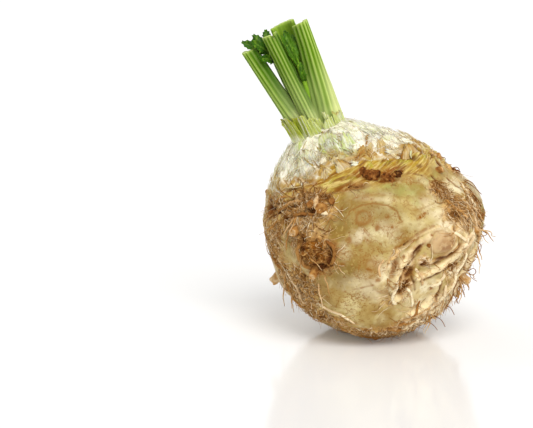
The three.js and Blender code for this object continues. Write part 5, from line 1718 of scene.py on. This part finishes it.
# Celery stalk: crisp, juicy rind with pale raised strings and green furrows, glossy where it is moist.
# The knife's face is pale and wet, with the darker ends of the strings.
stalkRind = {
    "ground": "#698c0e",
    "coats": (
        ("#4f7a08", 0.7, None, (2.6, 0.5, 0.66)),
        ("#3f6804", 0.5, "groove", (1.3, 0.15, 0.45)),
        ("#cbdd7c", 0.65, "rib", (1.1, 0.2, 0.5)),
        # painted shade, over shaded stalks and along their shaded edges
        ("#2a5702", 0.9, "shade", None),
        ("#93b53c", 0.9, "inner", (2.2, 0.2, 0.6)),
        ("#dde29a", 0.85, "foot", (2.4, 0.1, 0.5)),
        ("#bdd06a", 1.0, "cut", None),
    ),
    "cutString": "#6f9136",
    "cutStringGap": 1.5,  # mm
    "shader": {
        "Roughness": 0.45, "Specular IOR Level": 0.08, "Subsurface Weight": 0.12,
        "Subsurface Radius": (0.7, 1, 0.3), "Subsurface Scale": 0.0015,  # m
    },
    "grain": 0.8,  # mm
    "relief": {"Strength": 0.3, "Distance": 0.0004},  # m
}


# The stalk's finish, with the darker ends of the strings on the knife's face
def makeStalkMaterial():
    look = stalkRind
    material = makeFinish("celeryStalkRind", look, stringy=True)
    tree = material.node_tree
    base = next(node for node in tree.nodes if node.type == "BSDF_PRINCIPLED").inputs["Base Color"]
    place = addNode(tree, "ShaderNodeTexCoord").outputs["Object"]
    dots = addNode(tree, "ShaderNodeTexVoronoi", {"Scale": 1000 / look["cutStringGap"]}, {"Vector": place})
    spread = {"From Min": 0.35, "From Max": 0.2}
    dots = addNode(tree, "ShaderNodeMapRange", spread, {"Value": dots.outputs["Distance"]}).outputs[0]
    cut = addNode(tree, "ShaderNodeAttribute", {"attribute_name": "cut"}).outputs["Fac"]
    dots = addNode(tree, "ShaderNodeMath", {"operation": "MULTIPLY"}, {0: dots, 1: cut}).outputs[0]
    settings = {"data_type": "RGBA", 7: colour(look["cutString"])}
    links = {0: dots, 6: base.links[0].from_socket}
    tree.links.new(addNode(tree, "ShaderNodeMix", settings, links).outputs[2], base)
    return material


stalkMaterial = makeStalkMaterial()

# Each stalk as in the solid; shade is painted shade over its whole rind, shadeSide is painted shade along one edge of
# it, and paleSide makes its foot paler towards one edge, partly as painted light
stalks = (
    {"name": "stalkRight", "node": "stalk_right", "foot": (-22.9, -4, 116.5), "top": (-38.7, -3, 166.8),
     "out": (0.45, -0.88, 0.1), "width": 8.4, "footWidth": 18, "spread": 1.35, "depth": 6.4, "wall": 3.6, "ribs": 7,
     "bow": 1.2, "shade": 0.1, "shadeSide": -0.4, "paleSide": 0.6},
    {"name": "stalkMiddle", "node": "stalk_middle", "foot": (-33.3, -8, 116.5), "top": (-55.1, -7, 160.6),
     "out": (0.12, -0.98, 0), "width": 7.8, "footWidth": 8.6, "spread": 2, "depth": 6, "wall": 3.6, "ribs": 6,
     "bow": -0.4, "shade": 0.4, "shadeSide": 0.5},
    {"name": "stalkLeft", "node": "stalk_left", "foot": (-42.9, -4, 116), "top": (-66.7, -3, 151.6),
     "out": (-0.35, -0.92, -0.2), "width": 8, "footWidth": 11.5, "spread": 2.4, "depth": 6.4, "wall": 3.8, "ribs": 6,
     "bow": 0.6, "shade": 0.25, "shadeSide": 0.7},
    {"name": "stalkBackRight", "node": "stalk_back_right", "foot": (-27.3, 8.5, 114), "top": (-48.1, 9, 164.9),
     "out": (0.25, 0.96, 0.1), "width": 13.5, "footWidth": 15, "spread": 2, "depth": 6.6, "wall": 2.8, "ribs": 7,
     "bow": 0.8, "shade": 0.0, "shadeSide": 0.0},
    {"name": "stalkBackLeft", "node": "stalk_back_left", "foot": (-35.2, 7, 114), "top": (-55.9, 9, 157),
     "out": (-0.45, 0.88, 0), "width": 7.6, "footWidth": 8.4, "spread": 2, "depth": 6, "wall": 3.2, "ribs": 6,
     "bow": 0.6, "shade": 0.5, "shadeSide": 0.0},
)
stalkForm = {
    "sunk": 9, "wrap": 76, "ribHeight": 0.62, "rimWidth": 0.42, "middleDepth": 0.55, "knife": (-0.438, 0, 0.899),
    "perRib": 6, "rimSteps": 4, "stations": 46, "unevenness": 0.25,
}
notch = {"below": 4.2, "aside": 1.4, "tall": 12, "toLeft": 3.2, "toRight": 2.2}


def crescent(spec, width, half):
    form = stalkForm
    wrap = math.radians(form["wrap"])
    count = spec["ribs"] * form["perRib"]
    a = np.linspace(-1, 1, count + 1) * wrap
    bulge = (np.cos(a) - math.cos(wrap)) / (1 - math.cos(wrap))
    if half == "outer":
        rib = np.abs(np.sin(math.pi * spec["ribs"] * np.linspace(0, 1, count + 1))) ** 0.8
        raised = form["ribHeight"] * rib
        x = width / 2 * np.sin(a) / math.sin(wrap) + raised * np.sin(a)
        return np.stack((x, spec["depth"] * bulge + raised * np.cos(a)), -1), rib
    inner = width / 2 - form["rimWidth"] * spec["wall"]
    x = inner * np.sin(a) / math.sin(wrap)
    return np.stack((x, (spec["depth"] - spec["wall"]) * bulge), -1), np.zeros(count + 1)


def buildStalk(spec, index):
    form = stalkForm
    foot, top = np.array(spec["foot"], float), np.array(spec["top"], float)
    axis = unit(top - foot)
    out = np.array(spec["out"], float)
    out = unit(out - axis * dot(out, axis))
    across = np.cross(axis, out)
    start = foot - axis * form["sunk"]
    length = np.linalg.norm(top - start)
    knife = np.array(form["knife"])
    steps = form["rimSteps"]
    rings, ribs, grooves, inners, places = [], [], [], [], []
    stations = np.linspace(0, 1, form["stations"])
    for t in stations:
        width = between(spec["width"], spec["footWidth"], (1 - t) ** spec["spread"])
        outer, rib = crescent(spec, width, "outer")
        inner, none = crescent(spec, width, "inner")
        rim = np.linspace(0, 1, steps + 1)[1:-1, None]
        oneRim, otherRim = between(outer[-1], inner[-1], rim), between(inner[0], outer[0], rim)
        section = np.concatenate((outer, oneRim, inner[::-1], otherRim))
        bowed = spec["bow"] * math.sin(math.pi * t) - spec["depth"] * form["middleDepth"]
        ring = start + axis * length * t + out * bowed
        ring = ring + across * section[:, :1] + out * section[:, 1:]
        uneven = layeredNoise(ring * (1, 1, 0.35) + 9 * index, 6, 2)[:, None]
        uneven = uneven * form["unevenness"] * min(1, 4 * t * (1 - t) + 0.3)
        ring = ring + (out + across * 0.6) * uneven
        if t == 1:
            short = (dot(top, knife) - ring @ knife) / dot(axis, knife)
            if spec["name"] == "stalkMiddle":
                x = (ring - top) @ across - notch["aside"]
                slope = np.where(x < 0, notch["toLeft"], notch["toRight"]) / notch["tall"]
                short = short - np.maximum(0, notch["below"] - np.abs(x) / slope)
            ring = ring + axis * short[:, None]
            ring = ring + axis * (0.18 * layeredNoise(ring, 1.6, 2))[:, None]
        rings.append(ring)
        sides = np.zeros(steps - 1)
        ribs.append(np.concatenate((smooth(0.72, 1, rib), sides, none, sides)))
        grooves.append(np.concatenate((smooth(0.55, 0.1, rib), sides, none, sides)))
        inners.append(np.concatenate((np.zeros(len(rib)), sides + 0.4, np.ones(len(none)), sides + 0.4)))
        places.append(section)
    m = len(outer)
    n = len(rings[0])
    rows = len(rings)
    cell = np.arange(rows * n).reshape(rows, n)
    quads = ringFaces(cell)
    points = np.concatenate(rings)
    last = cell[-1]
    # the knife's face: rows from the ribbed edge to the hollow one, on its own points so that its rim is sharp
    outerRow, innerRow = points[last[:m]], points[last[m + steps - 1 : 2 * m + steps - 1]][::-1]
    face = between(outerRow[None], innerRow[None], np.linspace(0, 1, steps + 1)[:, None, None])
    face[1:-1] -= axis * 0.12
    faceIndex = np.arange((steps + 1) * m).reshape(steps + 1, m) + len(points)
    faceIndex[0] = last[:m]
    faceIndex[-1] = last[m + steps - 1 : 2 * m + steps - 1][::-1]
    faceIndex[1:-1, -1] = last[m : m + steps - 1]
    faceIndex[1:-1, 0] = last[2 * m + steps - 1 :][::-1]
    faceQuads = gridFaces(faceIndex)
    used = np.unique(np.concatenate((quads.ravel(), faceQuads.ravel())))
    points = np.concatenate((points, face.reshape(-1, 3)))
    t = np.repeat(stations, n)
    x = np.array(places)[..., 0].ravel()
    extra = (steps + 1) * m
    strings = np.stack((x + 20 * index, t * 2.5, np.array(places)[..., 1].ravel()), -1)
    strings = np.concatenate((strings, np.zeros((extra, 3))))

    def onAll(values, onFace=0):
        return np.concatenate((np.ravel(values), np.full(extra, onFace)))

    # painted shade along one edge of the stalk
    sided = smooth(0.1, 1, x / spec["width"] * 2 * np.sign(spec["shadeSide"] or 1)) * abs(spec["shadeSide"])
    foot = smooth(0.3, 0.08, t) * 0.75 + smooth(0.75, 0.2, t) * 0.25
    # the foot paler towards one edge: its whiter base, and painted light on the lit side
    foot = foot + spec.get("paleSide", 0) * smooth(0.85, 0.3, t) * smooth(-0.2, 0.9, x / spec["width"] * 2)
    layers = {
        "rib": onAll(ribs), "groove": onAll(grooves), "inner": onAll(inners), "strings": strings,
        "shade": onAll(np.clip(spec["shade"] + sided, 0, 1)), "foot": onAll(np.clip(foot, 0, 1)),
        "cut": onAll(smooth(0.97, 1, t) * 0.5, 1),
    }
    back = np.full(len(points), -1)
    back[used] = np.arange(len(used))
    groups = [back[quads], back[faceQuads], back[cell[:1, ::-1]]]
    layers = {key: values[used] for key, values in layers.items()}
    addPiece(spec["name"], points[used], groups, layers, stalkMaterial, spec["node"])


for index, spec in enumerate(stalks):
    buildStalk(spec, index)
print("stalks")

# Young celery leaf: thin, crumpled and toothed, deep green and satin, paler along the veins and in the folds
youngLeafBlade = {
    "ground": "#24500a",
    "coats": (
        ("#173b02", 0.9, None, (3, 0.44, 0.58)),
        ("#5f8f10", 0.8, "fresh", (5, 0.3, 0.6)),
        ("#759e22", 0.55, None, (2.2, 0.56, 0.65)),
        ("#7fa136", 0.55, "vein", None),
        ("#7da32a", 1.0, "stem", None),
    ),
    "shader": {
        "Roughness": 0.42, "Specular IOR Level": 0.1, "Subsurface Weight": 0.1,
        "Subsurface Radius": (0.5, 1, 0.2), "Subsurface Scale": 0.001,  # m
    },
    "grain": 1.2,  # mm
    "relief": {"Strength": 0.4, "Distance": 0.0005},  # m
}


leafMaterial = makeFinish("youngCeleryLeaf", youngLeafBlade)

# Stems and leaflets as in the solid, each blade with finer lobes, teeth and crumples. from counts stem points.
youngLeaves = (
    {
        "name": "youngLeafLeft", "node": "young_leaf_left", "seed": 109, "fresh": 0.15,
        "stem": ((-33.3, 0.5, 104), (-38.4, 1, 118), (-44.8, 1, 133), (-50.8, 1, 144), (-56.8, 0, 152.5)),
        "stemRadius": (1.7, 1.6, 1.4, 1.3, 0.9),
        "leaflets": (
            (3.6, (-69.7, -2.5, 156.4), 7.5, 0.35), (3.2, (-60.7, -8.6, 148.8), 6.5, 0.4),
            (3.4, (-63.8, 2, 159.5), 8, -0.3), (3.8, (-57.3, 2, 162.2), 7, 0.3), (3.7, (-64.9, -6, 157.5), 7, 0.3),
        ),
    },
    {
        "name": "youngLeafRight", "node": "young_leaf_right", "seed": 113, "fresh": 0.5,
        "stem": ((-29.3, -1, 105), (-32.8, -3.5, 122), (-36.8, -5.5, 135), (-40.8, -4.5, 146), (-43.8, -2, 153)),
        "stemRadius": (1.6, 1.5, 1.3, 1.1, 0.7),
        "leaflets": (
            (2, (-39.2, -8.6, 146.5), 4.4, 0.5), (2.7, (-49.1, -6.5, 160.3), 4.2, 0.5),
            (3, (-43.5, 2.4, 159.5), 6, -0.3), (3.4, (-47.3, 2, 161.5), 6, 0.3),
        ),
    },
)
bladeForm = {
    "rows": 34, "columns": 15, "thickness": 0.45, "teeth": 7, "toothDepth": 0.3, "lobes": 2.5, "crumple": 0.9,
    "arch": 1.6, "stemStations": 33, "stemSides": 10,
}


def buildLeaf(spec):
    form = bladeForm
    rng = np.random.default_rng(spec["seed"])
    stem = throughPoints(spec["stem"], form["stemStations"])
    radius = np.interp(np.linspace(0, 4, form["stemStations"]), range(5), spec["stemRadius"])
    points, groups = sweep(stem[None], radius[None], radius[None], form["stemSides"])
    veins, stems = [np.zeros(len(points))], [np.ones(len(points))]
    rows, columns = form["rows"], form["columns"]
    s, v = sheetGrid(rows, columns)
    tops, bottoms = [], []
    for begin, tip, width, cup in spec["leaflets"]:
        base = stem[int(round(begin * 8))]
        along = np.array(tip) - base
        length = np.linalg.norm(along)
        along = along / length
        across = unit(np.cross(along, (0, -1, 0.2)))
        up = np.cross(across, along)
        tooth = 1 - form["toothDepth"] * np.abs(np.sin(math.pi * form["teeth"] * s)) ** 0.6
        lobe = 1 - 0.25 * np.sin(math.pi * form["lobes"] * s) ** 2
        outline = np.sin(math.pi * between(0.1, 0.94, s)) ** 0.8 * tooth * lobe
        half = width / 2 * np.maximum(outline, 0.08)
        forward = np.abs(v) * half * 0.35 * np.abs(np.cos(math.pi * form["teeth"] * s))
        shift = rng.uniform(0, 30)
        crumple = noiseOn((s * length, v * half, shift), 3.2, 2)
        rise = cup * np.abs(v) * half + form["arch"] * np.sin(math.pi * s)
        rise = rise + form["crumple"] * crumple * (0.25 + np.abs(v))
        middle = base + along * (length * s)[..., None]
        grid = middle + along * forward[..., None] + across * (v * half)[..., None] + up * rise[..., None]
        normal = unit(np.cross(np.gradient(grid, axis=0), np.gradient(grid, axis=1)) + 1e-9)
        normal = normal * np.sign(dot(normal, up))[..., None]
        tops.append(grid + normal * form["thickness"] / 2)
        bottoms.append(grid - normal * form["thickness"] / 2)
        midrib = np.exp(-((v / 0.16) ** 2))
        side = 0.5 * np.exp(-(((s * form["teeth"] - np.abs(v) * 1.4) % 1 - 0.5) / 0.14) ** 2)
        veins.append(np.tile((np.clip(midrib + side, 0, 1) * 0.75).ravel(), 2))
        stems.append(np.zeros(2 * rows * columns))
    morePoints, moreFaces = slab(np.array(tops), np.array(bottoms))
    flip = np.array([0, 3, 2, 1])
    groups = groups + [group[:, flip] + len(points) for group in moreFaces]
    points = np.concatenate((points, morePoints))
    fresh = np.full(len(points), spec["fresh"])
    layers = {"vein": np.concatenate(veins), "stem": np.concatenate(stems), "fresh": fresh}
    addPiece(spec["name"], points, groups, layers, leafMaterial, spec["node"])


for spec in youngLeaves:
    buildLeaf(spec)
print("young leaves")
